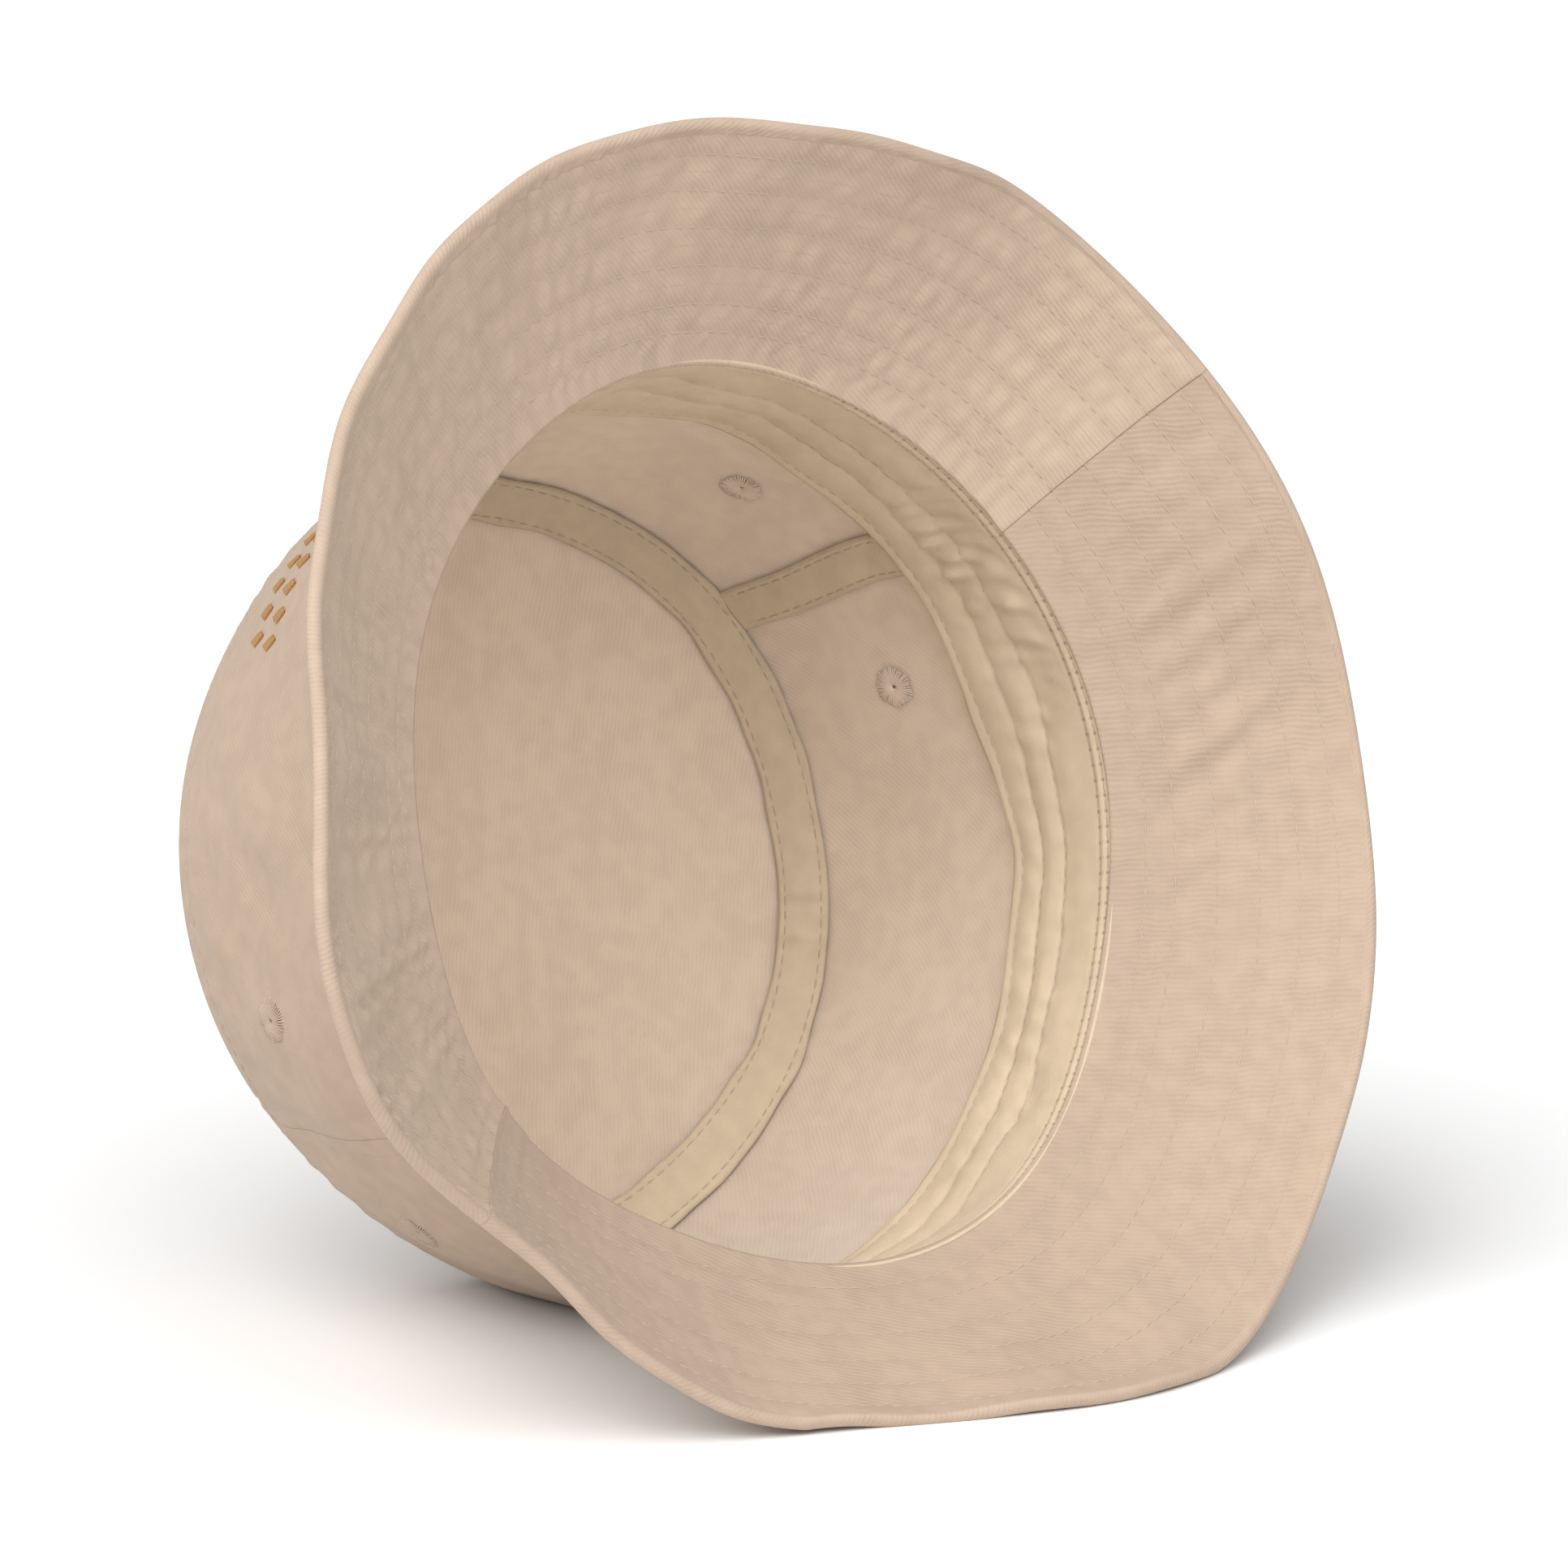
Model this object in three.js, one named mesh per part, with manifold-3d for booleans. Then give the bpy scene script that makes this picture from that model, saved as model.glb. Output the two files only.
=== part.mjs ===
// A cotton-twill bucket hat lying on its side, the way it settles on a table: the edge of the brim
// and the lower side of the crown carry it, and the head opening faces -Y and a little up.
// Millimetres, +Z up, floor at Z = 0, origin on the floor under the middle of the hat.
import * as THREE from "three";
import { mergeVertices } from "three/addons/utils/BufferGeometryUtils.js";
import Module from "manifold-3d";

const wasm = await Module();
wasm.setup();

// ---- Driving dimensions ---------------------------------------------------------------------
// The hat's own frame: Z from the head opening to the crown top, Y to the wearer's front, X to
// the wearer's right. Angles run from X towards Y, so the side seams are at 0 and 180 degrees.
const opening = { halfLength: 95.5, halfWidth: 91 }; // where crown and brim are sewn together
const crown = { height: 92, topHalfLength: 83, topHalfWidth: 79, dome: 6 };
const brim = { width: 52.5, arch: 1.5, pressed: 4 }; // its last 4 mm lie flat on the floor
const cloth = 1.2; // one ply of interlined twill
const band = { width: 34, thickness: 1, below: 1 }; // sweatband, and how far it hangs past the seam
const tape = { width: 11, thickness: 1, hiddenEnd: 8 }; // twill tape over the inner seams
const eyelet = { height: 57, fromSeam: 28, hole: 1.5, barrel: 2.4, thread: 5.2, rise: 0.7 };
const gap = 0.3; // between pieces that lie against each other
const curvedGap = 0.45; // where a flat ring or a strip's flat facets lie on a curved panel

// How the soft cloth has settled, at even steps round the hat from the right side seam.
const edgeLift = [4.5, -5.5, -1.5, -1, 0, 2.5, 1, -0.5, 0, -4, -2, 6.5]; // opening, towards the top
const edgeOut = [-2, -1.5, -3.5, -1.5, 1.5, 2.5, 2.5, 1.5, 0.5, 2, 1.5, -3.5]; // opening, outwards
const topLift = [3, -3, -2, -2, -0.5, 1, 0.5, -1, 0, -2.5, -0.5, 3]; // crown top seam, upwards
const topOut = [-0.5, 1.5, -2, -2, 0, 0, 1.5, -1, 0, -2.5, 2.5, 2.5]; // crown top seam, outwards
const sideBulge = [6, 4.5, 4, 4, 4, 4, 4, 4, 4, 6.5, 9, 8]; // crown side, outwards at half height
// Slope of the brim below the plane of the opening, and how far its edge is drawn in or let out.
const brimSlope = [43, 37, 39, 35, 33, 31, 42, 30.5, 31, 30, 33, 42, 42.5, 55, 47, 43.5];
const brimOut = [-7, 7.5, 0.5, 1, 2, -1.5, 0, -0.5, -1, -0.5, -0.5, 1, 2.5, 4, -3.5, -5.5];

const turn = 146.5; // the hat rolled about its own axis, degrees
const press = 2.6; // how deep the cloth is pressed flat where it rests

// ---- Mesh resolution ------------------------------------------------------------------------
const around = 60;
const steps = { brim: 5, side: 8, top: 4, band: 3, seamTape: 1, sideTape: 7, eyelet: 12 };

const colours = {
  twill: 0xd8bfa7,
  underside: 0xd4baa2,
  tape: 0xd0b894,
  thread: 0xcbb095,
};

// ---- Closed curves through the stations -----------------------------------------------------
const DEGREE = Math.PI / 180;
const full = 2 * Math.PI;

// The smooth closed curve through evenly spaced values, at an angle.
function through(values, angle) {
  const n = values.length;
  return values.reduce((sum, value, i) => {
    const half = (angle - (i * full) / n) / 2;
    const t = Math.tan(half);
    const weight = Math.abs(Math.sin(half)) < 1e-9 ? 1 : Math.sin(n * half) / (n * t);
    return sum + value * weight;
  }, 0);
}

// ---- Reference surfaces, in the hat's own frame ---------------------------------------------
function openingNormal(angle) {
  const x = Math.cos(angle) / opening.halfWidth;
  const y = Math.sin(angle) / opening.halfLength;
  return new THREE.Vector3(x, y, 0).normalize();
}

function openingEdge(angle) {
  const base = new THREE.Vector3(
    opening.halfWidth * Math.cos(angle),
    opening.halfLength * Math.sin(angle),
    through(edgeLift, angle),
  );
  return base.addScaledVector(openingNormal(angle), through(edgeOut, angle));
}

function topEdge(angle) {
  const out = through(topOut, angle);
  return new THREE.Vector3(
    (crown.topHalfWidth + out) * Math.cos(angle),
    (crown.topHalfLength + out) * Math.sin(angle),
    crown.height + through(topLift, angle),
  );
}

// Outer face of the crown side; share runs from the brim seam (0) to the top seam (1).
function crownSide(angle, share) {
  const bulge = 4 * through(sideBulge, angle) * share * (1 - share);
  return openingEdge(angle)
    .lerp(topEdge(angle), share)
    .addScaledVector(openingNormal(angle), bulge);
}

// Upper face of the brim; share runs from the brim seam (0) to the brim edge (1).
function brimTop(angle, share) {
  const slope = through(brimSlope, angle) * DEGREE;
  const width = (brim.width + through(brimOut, angle)) * share;
  const arch = 4 * brim.arch * share * (1 - share);
  const out = width * Math.cos(slope) + arch * Math.sin(slope);
  const down = width * Math.sin(slope) - arch * Math.cos(slope);
  const point = openingEdge(angle).addScaledVector(openingNormal(angle), out);
  point.z -= down;
  return point;
}

// Outer face of the crown top; share runs from its middle (0) to its cut edge (1).
function crownTop(angle, share) {
  const edge = topEdge(angle);
  const reach = 1 - (cloth + gap) / Math.hypot(edge.x, edge.y);
  const s = share * reach;
  const rise = crown.height + crown.dome * (1 - s * s);
  return new THREE.Vector3(edge.x * s, edge.y * s, rise + (edge.z - crown.height) * s * s);
}

// The point a given depth below a surface, on the side that faces `towards`.
function below(surface, angle, share, depth, towards) {
  const step = 1e-3;
  const along = surface(angle + step, share).sub(surface(angle - step, share));
  const across = surface(angle, share + step).sub(surface(angle, share - step));
  const normal = along.cross(across).normalize();
  const point = surface(angle, share);
  if (normal.dot(towards.clone().sub(point)) < 0) normal.negate();
  return point.addScaledVector(normal, depth);
}

// ---- How it lies ----------------------------------------------------------------------------
// Turned about its axis, then laid down until the brim edge and the crown touch the floor.
function laid(lean) {
  const axis = new THREE.Vector3(0, Math.cos(lean), -Math.sin(lean));
  const side = new THREE.Vector3(1, 0, 0);
  const other = axis.clone().cross(side);
  const x = side.clone().multiplyScalar(Math.cos(turn * DEGREE));
  x.addScaledVector(other, Math.sin(turn * DEGREE));
  return new THREE.Matrix4().makeBasis(x, axis.clone().cross(x), axis);
}

function lowest(surface, shares, matrix) {
  let low = Infinity;
  for (let i = 0; i < 4 * around; i++)
    for (const share of shares)
      low = Math.min(low, surface((i * full) / (4 * around), share).applyMatrix4(matrix).z);
  return low;
}

function restingPose() {
  const brimShares = [0.9, 1];
  const sideShares = [0.5, 0.6, 0.7, 0.8, 0.9, 1];
  let flat = 0;
  let steep = 60 * DEGREE;
  for (let i = 0; i < 40; i++) {
    const lean = (flat + steep) / 2;
    const matrix = laid(lean);
    const crownIsLower = lowest(crownSide, sideShares, matrix) < lowest(brimTop, brimShares, matrix);
    if (crownIsLower) steep = lean;
    else flat = lean;
  }
  const matrix = laid(flat);
  const low = lowest(brimTop, brimShares, matrix);
  return new THREE.Matrix4().makeTranslation(0, 0, -low - press).multiply(matrix);
}

const pose = restingPose();
const headCentre = new THREE.Vector3(0, 0, crown.height / 2);
const underBrim = new THREE.Vector3(0, 0, -10 * brim.width);

// A face of a piece in its resting place: cloth below the floor lies flat, each face at its depth.
function face(surface, depth, towards) {
  return (angle, share) => {
    const point = below(surface, angle, share, depth, towards).applyMatrix4(pose);
    point.z = Math.max(point.z, depth);
    return point;
  };
}

// ---- Closed meshes --------------------------------------------------------------------------
function geometryFrom(points, triangles) {
  const positions = new Float32Array(points.flatMap((p) => [p.x, p.y, p.z]));
  const geometry = new THREE.BufferGeometry();
  geometry.setAttribute("position", new THREE.BufferAttribute(positions, 3));
  let volume = 0;
  for (const [a, b, c] of triangles)
    volume += points[a].dot(points[b].clone().cross(points[c]));
  geometry.setIndex(triangles.flatMap(([a, b, c]) => (volume < 0 ? [a, c, b] : [a, b, c])));
  geometry.computeVertexNormals();
  return geometry;
}

// A wall between two faces over a grid of angles and shares. `ring` joins the last angle to the
// first; `apex` makes share 0 a single point.
function wall(outer, inner, angles, shares, { ring = false, apex = false } = {}) {
  const points = [];
  const faces = [outer, inner].map((surface) =>
    angles.map((angle, i) =>
      shares.map((share, j) => {
        if (apex && j === 0 && i > 0) return null;
        points.push(surface(angle, share));
        return points.length - 1;
      }),
    ),
  );
  const columns = angles.length;
  const rows = shares.length;
  const index = (side, i, j) => faces[side][apex && j === 0 ? 0 : i % columns][j];
  const triangles = [];
  const quad = (a, b, c, d) => {
    for (const t of [
      [a, b, c],
      [a, c, d],
    ])
      if (new Set(t).size === 3) triangles.push(t);
  };
  for (let i = 0; i < (ring ? columns : columns - 1); i++) {
    for (let j = 0; j < rows - 1; j++) {
      quad(index(0, i, j), index(0, i + 1, j), index(0, i + 1, j + 1), index(0, i, j + 1));
      quad(index(1, i + 1, j + 1), index(1, i + 1, j), index(1, i, j), index(1, i, j + 1));
    }
    const last = rows - 1;
    quad(index(0, i, last), index(0, i + 1, last), index(1, i + 1, last), index(1, i, last));
    if (!apex) quad(index(0, i + 1, 0), index(0, i, 0), index(1, i, 0), index(1, i + 1, 0));
  }
  if (!ring)
    for (let j = 0; j < rows - 1; j++) {
      const end = columns - 1;
      quad(index(0, 0, j), index(0, 0, j + 1), index(1, 0, j + 1), index(1, 0, j));
      quad(index(0, end, j + 1), index(0, end, j), index(1, end, j), index(1, end, j + 1));
    }
  return geometryFrom(points, triangles);
}

function evenly(from, to, count) {
  return Array.from({ length: count + 1 }, (_, i) => from + ((to - from) * i) / count);
}

const roundTheHat = evenly(0, full, around).slice(0, -1);
const halves = { front: 0, back: Math.PI }; // the angle at which each half starts

// The angles of one half, a seam's gap short of the seam at both ends.
function halfRound(half, radius) {
  const seam = gap / 2 / radius;
  const start = halves[half];
  const inner = evenly(start, start + Math.PI, around / 2);
  inner[0] += seam;
  inner[inner.length - 1] -= seam;
  return inner;
}

// ---- Pieces ---------------------------------------------------------------------------------
const root = new THREE.Group();

function add(name, geometry, colour) {
  const material = new THREE.MeshStandardMaterial({ color: colour, roughness: 0.9, metalness: 0 });
  const mesh = new THREE.Mesh(geometry, material);
  mesh.name = name;
  root.add(mesh);
}

function solid(geometry) {
  const bare = geometry.clone();
  bare.deleteAttribute("normal");
  bare.deleteAttribute("uv");
  const merged = mergeVertices(bare, 1e-4);
  const mesh = new wasm.Mesh({
    numProp: 3,
    vertProperties: merged.attributes.position.array,
    triVerts: new Uint32Array(merged.index.array),
  });
  return new wasm.Manifold(mesh);
}

function geometryOf(made) {
  const mesh = made.getMesh();
  const geometry = new THREE.BufferGeometry();
  geometry.setAttribute("position", new THREE.BufferAttribute(mesh.vertProperties, 3));
  geometry.setIndex(new THREE.BufferAttribute(mesh.triVerts, 1));
  geometry.computeVertexNormals();
  return geometry;
}

// Both plies of the brim, in a front and a back half each.
function makeBrim() {
  const shares = [...evenly(0, 1 - brim.pressed / brim.width, steps.brim), 1];
  const plies = {
    upper: { depth: 0, colour: colours.twill },
    under: { depth: cloth + gap, colour: colours.underside },
  };
  for (const [ply, { depth, colour }] of Object.entries(plies))
    for (const half of Object.keys(halves)) {
      const outer = face(brimTop, depth, underBrim);
      const inner = face(brimTop, depth + cloth, underBrim);
      const angles = halfRound(half, opening.halfWidth);
      add(`brim_${ply}_${half}`, wall(outer, inner, angles, shares), colour);
    }
}

// An eyelet's axis: its centre on the middle of the panel, and the matrix that puts Z outwards.
function eyeletPlace(angle) {
  const share = eyelet.height / crown.height;
  const centre = below(crownSide, angle, share, cloth / 2, headCentre);
  const outside = below(crownSide, angle, share, 0, headCentre);
  const out = outside.sub(centre).normalize();
  const turned = new THREE.Quaternion().setFromUnitVectors(new THREE.Vector3(0, 0, 1), out);
  const size = new THREE.Vector3(1, 1, 1);
  return pose.clone().multiply(new THREE.Matrix4().compose(centre, turned, size));
}

const eyeletOffset = eyelet.fromSeam / opening.halfWidth;
const eyelets = {
  front: { right: eyeletOffset, left: Math.PI - eyeletOffset },
  back: { right: full - eyeletOffset, left: Math.PI + eyeletOffset },
};

function eyeletGeometry() {
  const inner = cloth / 2 + curvedGap;
  const outer = inner + eyelet.rise;
  const rounded = eyelet.rise / 2;
  const profile = [
    [eyelet.hole, -outer],
    [eyelet.thread - rounded, -outer],
    [eyelet.thread, -inner],
    [eyelet.barrel, -inner],
    [eyelet.barrel, inner],
    [eyelet.thread, inner],
    [eyelet.thread - rounded, outer],
    [eyelet.hole, outer],
    [eyelet.hole, -outer],
  ];
  const points = profile.map(([radius, height]) => new THREE.Vector2(radius, height));
  const lathe = new THREE.LatheGeometry(points, steps.eyelet);
  return lathe.rotateX(Math.PI / 2);
}

// The two crown side panels, each with its pair of holes, and the thread rings in the holes.
function makeCrownSides() {
  const seam = gap / crown.height;
  const underTape = 1 - tape.width / 2 / crown.height;
  const shares = [...evenly(seam, underTape, steps.side), 1];
  const outer = face(crownSide, 0, headCentre);
  const inner = face(crownSide, cloth, headCentre);
  for (const [half, places] of Object.entries(eyelets)) {
    let panel = solid(wall(outer, inner, halfRound(half, opening.halfWidth), shares));
    for (const [side, angle] of Object.entries(places)) {
      const place = eyeletPlace(angle);
      const radius = eyelet.barrel + gap;
      const drill = new THREE.CylinderGeometry(radius, radius, 8 * cloth, steps.eyelet);
      drill.rotateX(Math.PI / 2);
      panel = panel.subtract(solid(drill.applyMatrix4(place)));
      const ring = geometryOf(solid(eyeletGeometry().applyMatrix4(place)));
      add(`eyelet_${half}_${side}`, ring, colours.thread);
    }
    add(`crown_${half}`, geometryOf(panel), colours.twill);
  }
}

// The oval top, set inside the upper ends of the side panels.
function makeCrownTop() {
  const lift = (depth) => (angle, share) => {
    const point = crownTop(angle, share);
    point.z -= depth;
    point.applyMatrix4(pose);
    point.z = Math.max(point.z, cloth + gap);
    return point;
  };
  const shares = evenly(0, 1, steps.top);
  const geometry = wall(lift(0), lift(cloth), roundTheHat, shares, { ring: true, apex: true });
  add("crown_top", geometry, colours.twill);
}

const tapeDepth = cloth + curvedGap;

// The sweatband stands against the crown side, from just past the brim seam upwards.
function makeSweatband() {
  const depth = tapeDepth + tape.thickness + gap;
  const outer = face(crownSide, depth, headCentre);
  const inner = face(crownSide, depth + band.thickness, headCentre);
  const low = -band.below / crown.height;
  const shares = evenly(low, low + band.width / crown.height, steps.band);
  add("sweatband", wall(outer, inner, roundTheHat, shares, { ring: true }), colours.tape);
}

// The tape over the seam between side and top, laid across the corner.
function makeTopSeamTape() {
  const half = tape.width / 2;
  const corner = (angle, share) => {
    const low = below(crownSide, angle, 1 - half / crown.height, tapeDepth, headCentre);
    const high = crownTop(angle, 1 - half / crown.topHalfWidth);
    high.z -= tapeDepth;
    return low.lerp(high, share);
  };
  const pressed = (depth) => (angle, share) => {
    const point = below(corner, angle, share, depth, headCentre).applyMatrix4(pose);
    point.z = Math.max(point.z, tapeDepth + depth);
    return point;
  };
  const shares = evenly(0, 1, steps.seamTape);
  const geometry = wall(pressed(0), pressed(tape.thickness), roundTheHat, shares, { ring: true });
  add("top_seam_tape", geometry, colours.tape);
}

// The tapes over the two side seams, from behind the sweatband up to the top seam tape.
function makeSideTapes() {
  const outer = face(crownSide, tapeDepth, headCentre);
  const inner = face(crownSide, tapeDepth + tape.thickness, headCentre);
  const half = tape.width / 2 / opening.halfWidth;
  const top = 1 - (tape.width / 2 + tape.thickness + gap) / crown.height;
  const shares = evenly(tape.hiddenEnd / crown.height, top, steps.sideTape);
  for (const [side, middle] of Object.entries({ right: 0, left: Math.PI })) {
    const angles = evenly(middle - half, middle + half, 2);
    add(`side_tape_${side}`, wall(outer, inner, angles, shares), colours.tape);
  }
}

makeBrim();
makeCrownSides();
makeCrownTop();
makeSweatband();
makeTopSeamTape();
makeSideTapes();

const box = new THREE.Box3().setFromObject(root);
const middle = box.getCenter(new THREE.Vector3());
root.position.set(-middle.x, -middle.y, 0);

export default root;
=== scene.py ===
"""A cotton twill bucket hat lying on its side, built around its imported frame.

The hat's own frame has Z from the head opening to the crown top, Y to the wearer's front and X to
the wearer's right. Angles run from X towards Y, so the side seams are at 0 and 180 degrees.
"""

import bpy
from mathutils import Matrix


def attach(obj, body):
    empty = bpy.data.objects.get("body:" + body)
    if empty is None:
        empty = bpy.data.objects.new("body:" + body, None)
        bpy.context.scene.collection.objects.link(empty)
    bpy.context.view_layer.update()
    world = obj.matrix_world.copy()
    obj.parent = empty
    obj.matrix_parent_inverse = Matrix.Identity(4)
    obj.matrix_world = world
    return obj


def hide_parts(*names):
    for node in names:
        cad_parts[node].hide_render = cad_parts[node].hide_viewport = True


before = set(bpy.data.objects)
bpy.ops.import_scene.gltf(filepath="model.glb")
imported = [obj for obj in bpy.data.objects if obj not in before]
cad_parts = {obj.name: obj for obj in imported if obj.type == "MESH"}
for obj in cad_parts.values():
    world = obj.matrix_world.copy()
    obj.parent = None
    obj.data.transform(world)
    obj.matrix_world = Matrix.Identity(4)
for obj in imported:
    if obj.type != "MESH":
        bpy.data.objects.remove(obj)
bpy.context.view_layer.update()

import math

import bmesh
import bpy
import numpy as np
from bpy.props import FloatProperty, FloatVectorProperty, IntProperty, PointerProperty
from bpy.types import Operator, Panel, PropertyGroup
from mathutils import Vector

bl_info = {
    "name": "Bucket Hat",
    "version": (1, 0, 0),
    "blender": (4, 5, 0),
    "location": "3D Viewport > Sidebar > Hat",
    "description": "Builds a cotton twill bucket hat that lies on its side",
    "category": "Object",
}

MM = 0.001
DEGREE = math.pi / 180
FULL = 2 * math.pi

# How the soft cloth has settled, at even steps round the hat from the right seam. Lifts run
# towards the crown top and outs away from the middle, in millimetres. Slopes are in degrees.
EDGE_LIFT = (4.5, -5.5, -1.5, -1, 0, 2.5, 1, -0.5, 0, -4, -2, 6.5)
EDGE_OUT = (-2, -1.5, -3.5, -1.5, 1.5, 2.5, 2.5, 1.5, 0.5, 2, 1.5, -3.5)
TOP_LIFT = (3, -3, -2, -2, -0.5, 1, 0.5, -1, 0, -2.5, -0.5, 3)
TOP_OUT = (-0.5, 1.5, -2, -2, 0, 0, 1.5, -1, 0, -2.5, 2.5, 2.5)
SIDE_BULGE = (6, 4.5, 4, 4, 4, 4, 4, 4, 4, 6.5, 9, 8)
BRIM_SLOPE = (43, 37, 39, 35, 33, 31, 42, 30.5, 31, 30, 33, 42, 42.5, 55, 47, 43.5)
BRIM_OUT = (-7, 7.5, 0.5, 1, 2, -1.5, 0, -0.5, -1, -0.5, -0.5, 1, 2.5, 4, -3.5, -5.5)
# Height of the sweatband's free edge above the brim seam, and how far it hangs off the crown.
BAND_HEIGHT = (34, 34, 34.5, 36, 37.5, 38.5, 36, 34.5, 31.5, 34.5, 34.5, 34)
BAND_HANG = (1, 1.5, 2.5, 4, 4, 1.5, 1, 1.5, 1, 0.5, 0.5, 0.5)

TURN = 146.5 * DEGREE  # the hat rolled about its own axis
PRESS = 2.6 * MM  # how deep the cloth is pressed flat where it rests
SEAT = (-0.482 * MM, -13.54 * MM)  # where the middle of the head opening stands on the floor

HALVES = (("front", 0.0), ("back", math.pi))  # each half of the hat and the angle it starts at
SEAM_GAP = 0.0004  # half the gap between the front and back halves, as an angle

# Across the slanting folds of the brim beside the left side seam, in the hat's own frame.
FOLD_WAY = (-0.17, 0.94, 0.28)

# Stitch rows of the brim, as shares of its width from the seam.
BRIM_ROWS = (0.08, 0.20, 0.37, 0.54, 0.70, 0.855)
# Stitch rows of the sweatband, in millimetres above the brim seam; the last is its hem.
BAND_ROWS = (0.4, 3.1, 15.8, 24.0, 31.2)
# Stitch rows of a seam tape, as shares of its width.
TAPE_ROWS = (0.14, 0.86)

BAND_WIDTH = 34 * MM  # width that the sweatband's rows are spaced for
TAPE_JOIN = 228 * DEGREE  # where the two ends of the top seam tape meet
CORNER_REACH = 0.6  # how far the top seam tape reaches each way from its corner, in tape widths
CORNER_WIDTH = 1.35  # the top seam tape measured round its corner, in tape widths
SEAM_ROW = 5 * MM  # from a side seam of the crown to the stitch row on each side of it
DIP_REACH = 0.005  # how far a dip at a side seam reaches, as an angle
DIP_DEPTH = 0.2 * MM
CROWN_GROOVE = 0.28 * MM  # how deep the crown's stitch rows pull in


# ---- What a user would change ---------------------------------------------------------------


def length(name, description, default, low=0.0):
    return FloatProperty(
        name=name,
        description=description,
        default=default,
        min=low,
        unit="LENGTH",
        precision=5,
    )


def colour(name, description, default):
    return FloatVectorProperty(
        name=name,
        description=description,
        default=default,
        min=0.0,
        max=1.0,
        subtype="COLOR",
    )


class HatSizes(PropertyGroup):
    half_length: length("Half length", "Head opening, middle to front", 0.0955, 0.05)
    half_width: length("Half width", "Head opening, middle to side seam", 0.091, 0.05)
    crown_height: length("Crown height", "From the brim seam to the top seam", 0.092, 0.03)
    top_half_length: length("Top half length", "Crown top, middle to front", 0.083, 0.03)
    top_half_width: length("Top half width", "Crown top, middle to side", 0.079, 0.03)
    dome: length("Dome", "Rise of the crown top above its seam", 0.006)
    brim_width: length("Brim width", "From the brim seam to its edge", 0.0525, 0.01)
    brim_arch: length("Brim arch", "Rise of the brim between seam and edge", 0.0015)
    cloth: length("Cloth", "Thickness of one ply of twill", 0.0012, 0.0002)
    ply_gap: length("Ply gap", "Room between the two plies of the brim", 0.0003)
    curved_gap: length("Curved gap", "Room behind the tapes and the sweatband", 0.00045)
    tape: length("Tape thickness", "Thickness of tape and sweatband", 0.001, 0.0002)
    tape_width: length("Tape width", "Width of the seam tapes", 0.011, 0.002)
    band_below: length("Band below", "How far the sweatband passes the brim seam", 0.001)
    eyelet_height: length("Eyelet height", "Eyelet above the brim seam", 0.057)
    eyelet_from_seam: length("Eyelet from seam", "Eyelet to the side seam", 0.028)
    eyelet_hole: length("Eyelet hole", "Radius of the open hole", 0.0006, 0.0003)
    eyelet_thread: length("Eyelet thread", "Radius of the thread ring", 0.0047, 0.002)


class HatStitches(PropertyGroup):
    pitch: length("Pitch", "From one stitch to the next", 0.0033, 0.001)
    length: length("Length", "Length of thread that shows in one stitch", 0.0027, 0.0005)
    thickness: length("Thread", "Thickness of the sewing thread", 0.00032, 0.0001)
    groove: length("Groove", "How deep a stitch row pulls into the cloth", 0.0001)
    seed: IntProperty(name="Seed", description="Draws the small irregularities", default=7)


class HatColours(PropertyGroup):
    twill: colour("Twill", "Cloth of the brim's upper ply and its turned edge", (0.50, 0.38, 0.29))
    crown: colour("Crown", "Outer face of the crown cloth", (0.452, 0.339, 0.253))
    inside: colour("Inside", "Paler inner face of the crown cloth", (0.62, 0.508, 0.412))
    underbrim: colour("Under brim", "Back panel of the underside of the brim", (0.475, 0.36, 0.274))
    # Painted light: the front panel is painted paler than the back panel to lift the upper part of the
    # brim's underside, which faces down into shade.
    front_panel_painted_light: colour("Front panel", "Front panel of the underside of the brim", (0.525, 0.403, 0.306))
    tape: colour("Tape", "Seam tapes", (0.62, 0.505, 0.365))
    band: colour("Sweatband", "Cloth of the sweatband", (0.66, 0.54, 0.39))
    thread: colour("Thread", "Sewing thread", (0.61, 0.475, 0.36))
    band_thread: colour("Band thread", "Sewing thread of sweatband and tapes", (0.55, 0.445, 0.32))
    eyelet: colour("Eyelet", "Thread of the eyelets outside", (0.53, 0.405, 0.31))
    # Painted light: the eyelets' thread inside is the same thread as outside, painted paler so that it
    # keeps up with the inside cloth, which light passes through.
    eyelet_inside: colour("Eyelet inside", "Thread of the eyelets inside", (0.85, 0.70, 0.57))
    needlework: colour("Needlework", "Thread of the crown's motif", (0.42, 0.22, 0.07))
    twill_pitch: length("Twill pitch", "From one rib of the twill to the next", 0.00095, 0.0003)


class HatStage(PropertyGroup):
    floor: colour("Floor", "Plain pale floor", (0.93, 0.93, 0.93))
    surround: FloatProperty(
        name="Surround", description="Light from all round", default=0.2, min=0.0
    )
    key: FloatProperty(
        name="Key", description="Strength of the three soft lights", default=1.0, min=0.0
    )
    lens: FloatProperty(
        name="Lens", description="Focal length in millimetres", default=172.8, min=10.0
    )


# ---- The shape of the hat -------------------------------------------------------------------


def through(values, angle):
    """The smooth closed curve through evenly spaced values, at each angle."""
    count = len(values)
    total = np.zeros_like(angle)
    for i, value in enumerate(values):
        half = (angle - i * FULL / count) / 2
        near = np.abs(np.sin(half)) < 1e-9
        tangent = np.where(near, 1.0, np.tan(half))
        total = total + value * np.where(near, 1.0, np.sin(count * half) / (count * tangent))
    return total


def vectors(x, y, z):
    """Points from three coordinates, each a number or an array."""
    return np.stack(np.broadcast_arrays(x, y, z), axis=-1).astype(float)


def pairs(along, across):
    """Cloth coordinates from a distance along and a distance across."""
    return np.stack(np.broadcast_arrays(along, across), axis=-1).astype(float)


def unit(v):
    """The same directions, each one long."""
    return v / np.maximum(np.linalg.norm(v, axis=-1, keepdims=True), 1e-12)


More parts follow.
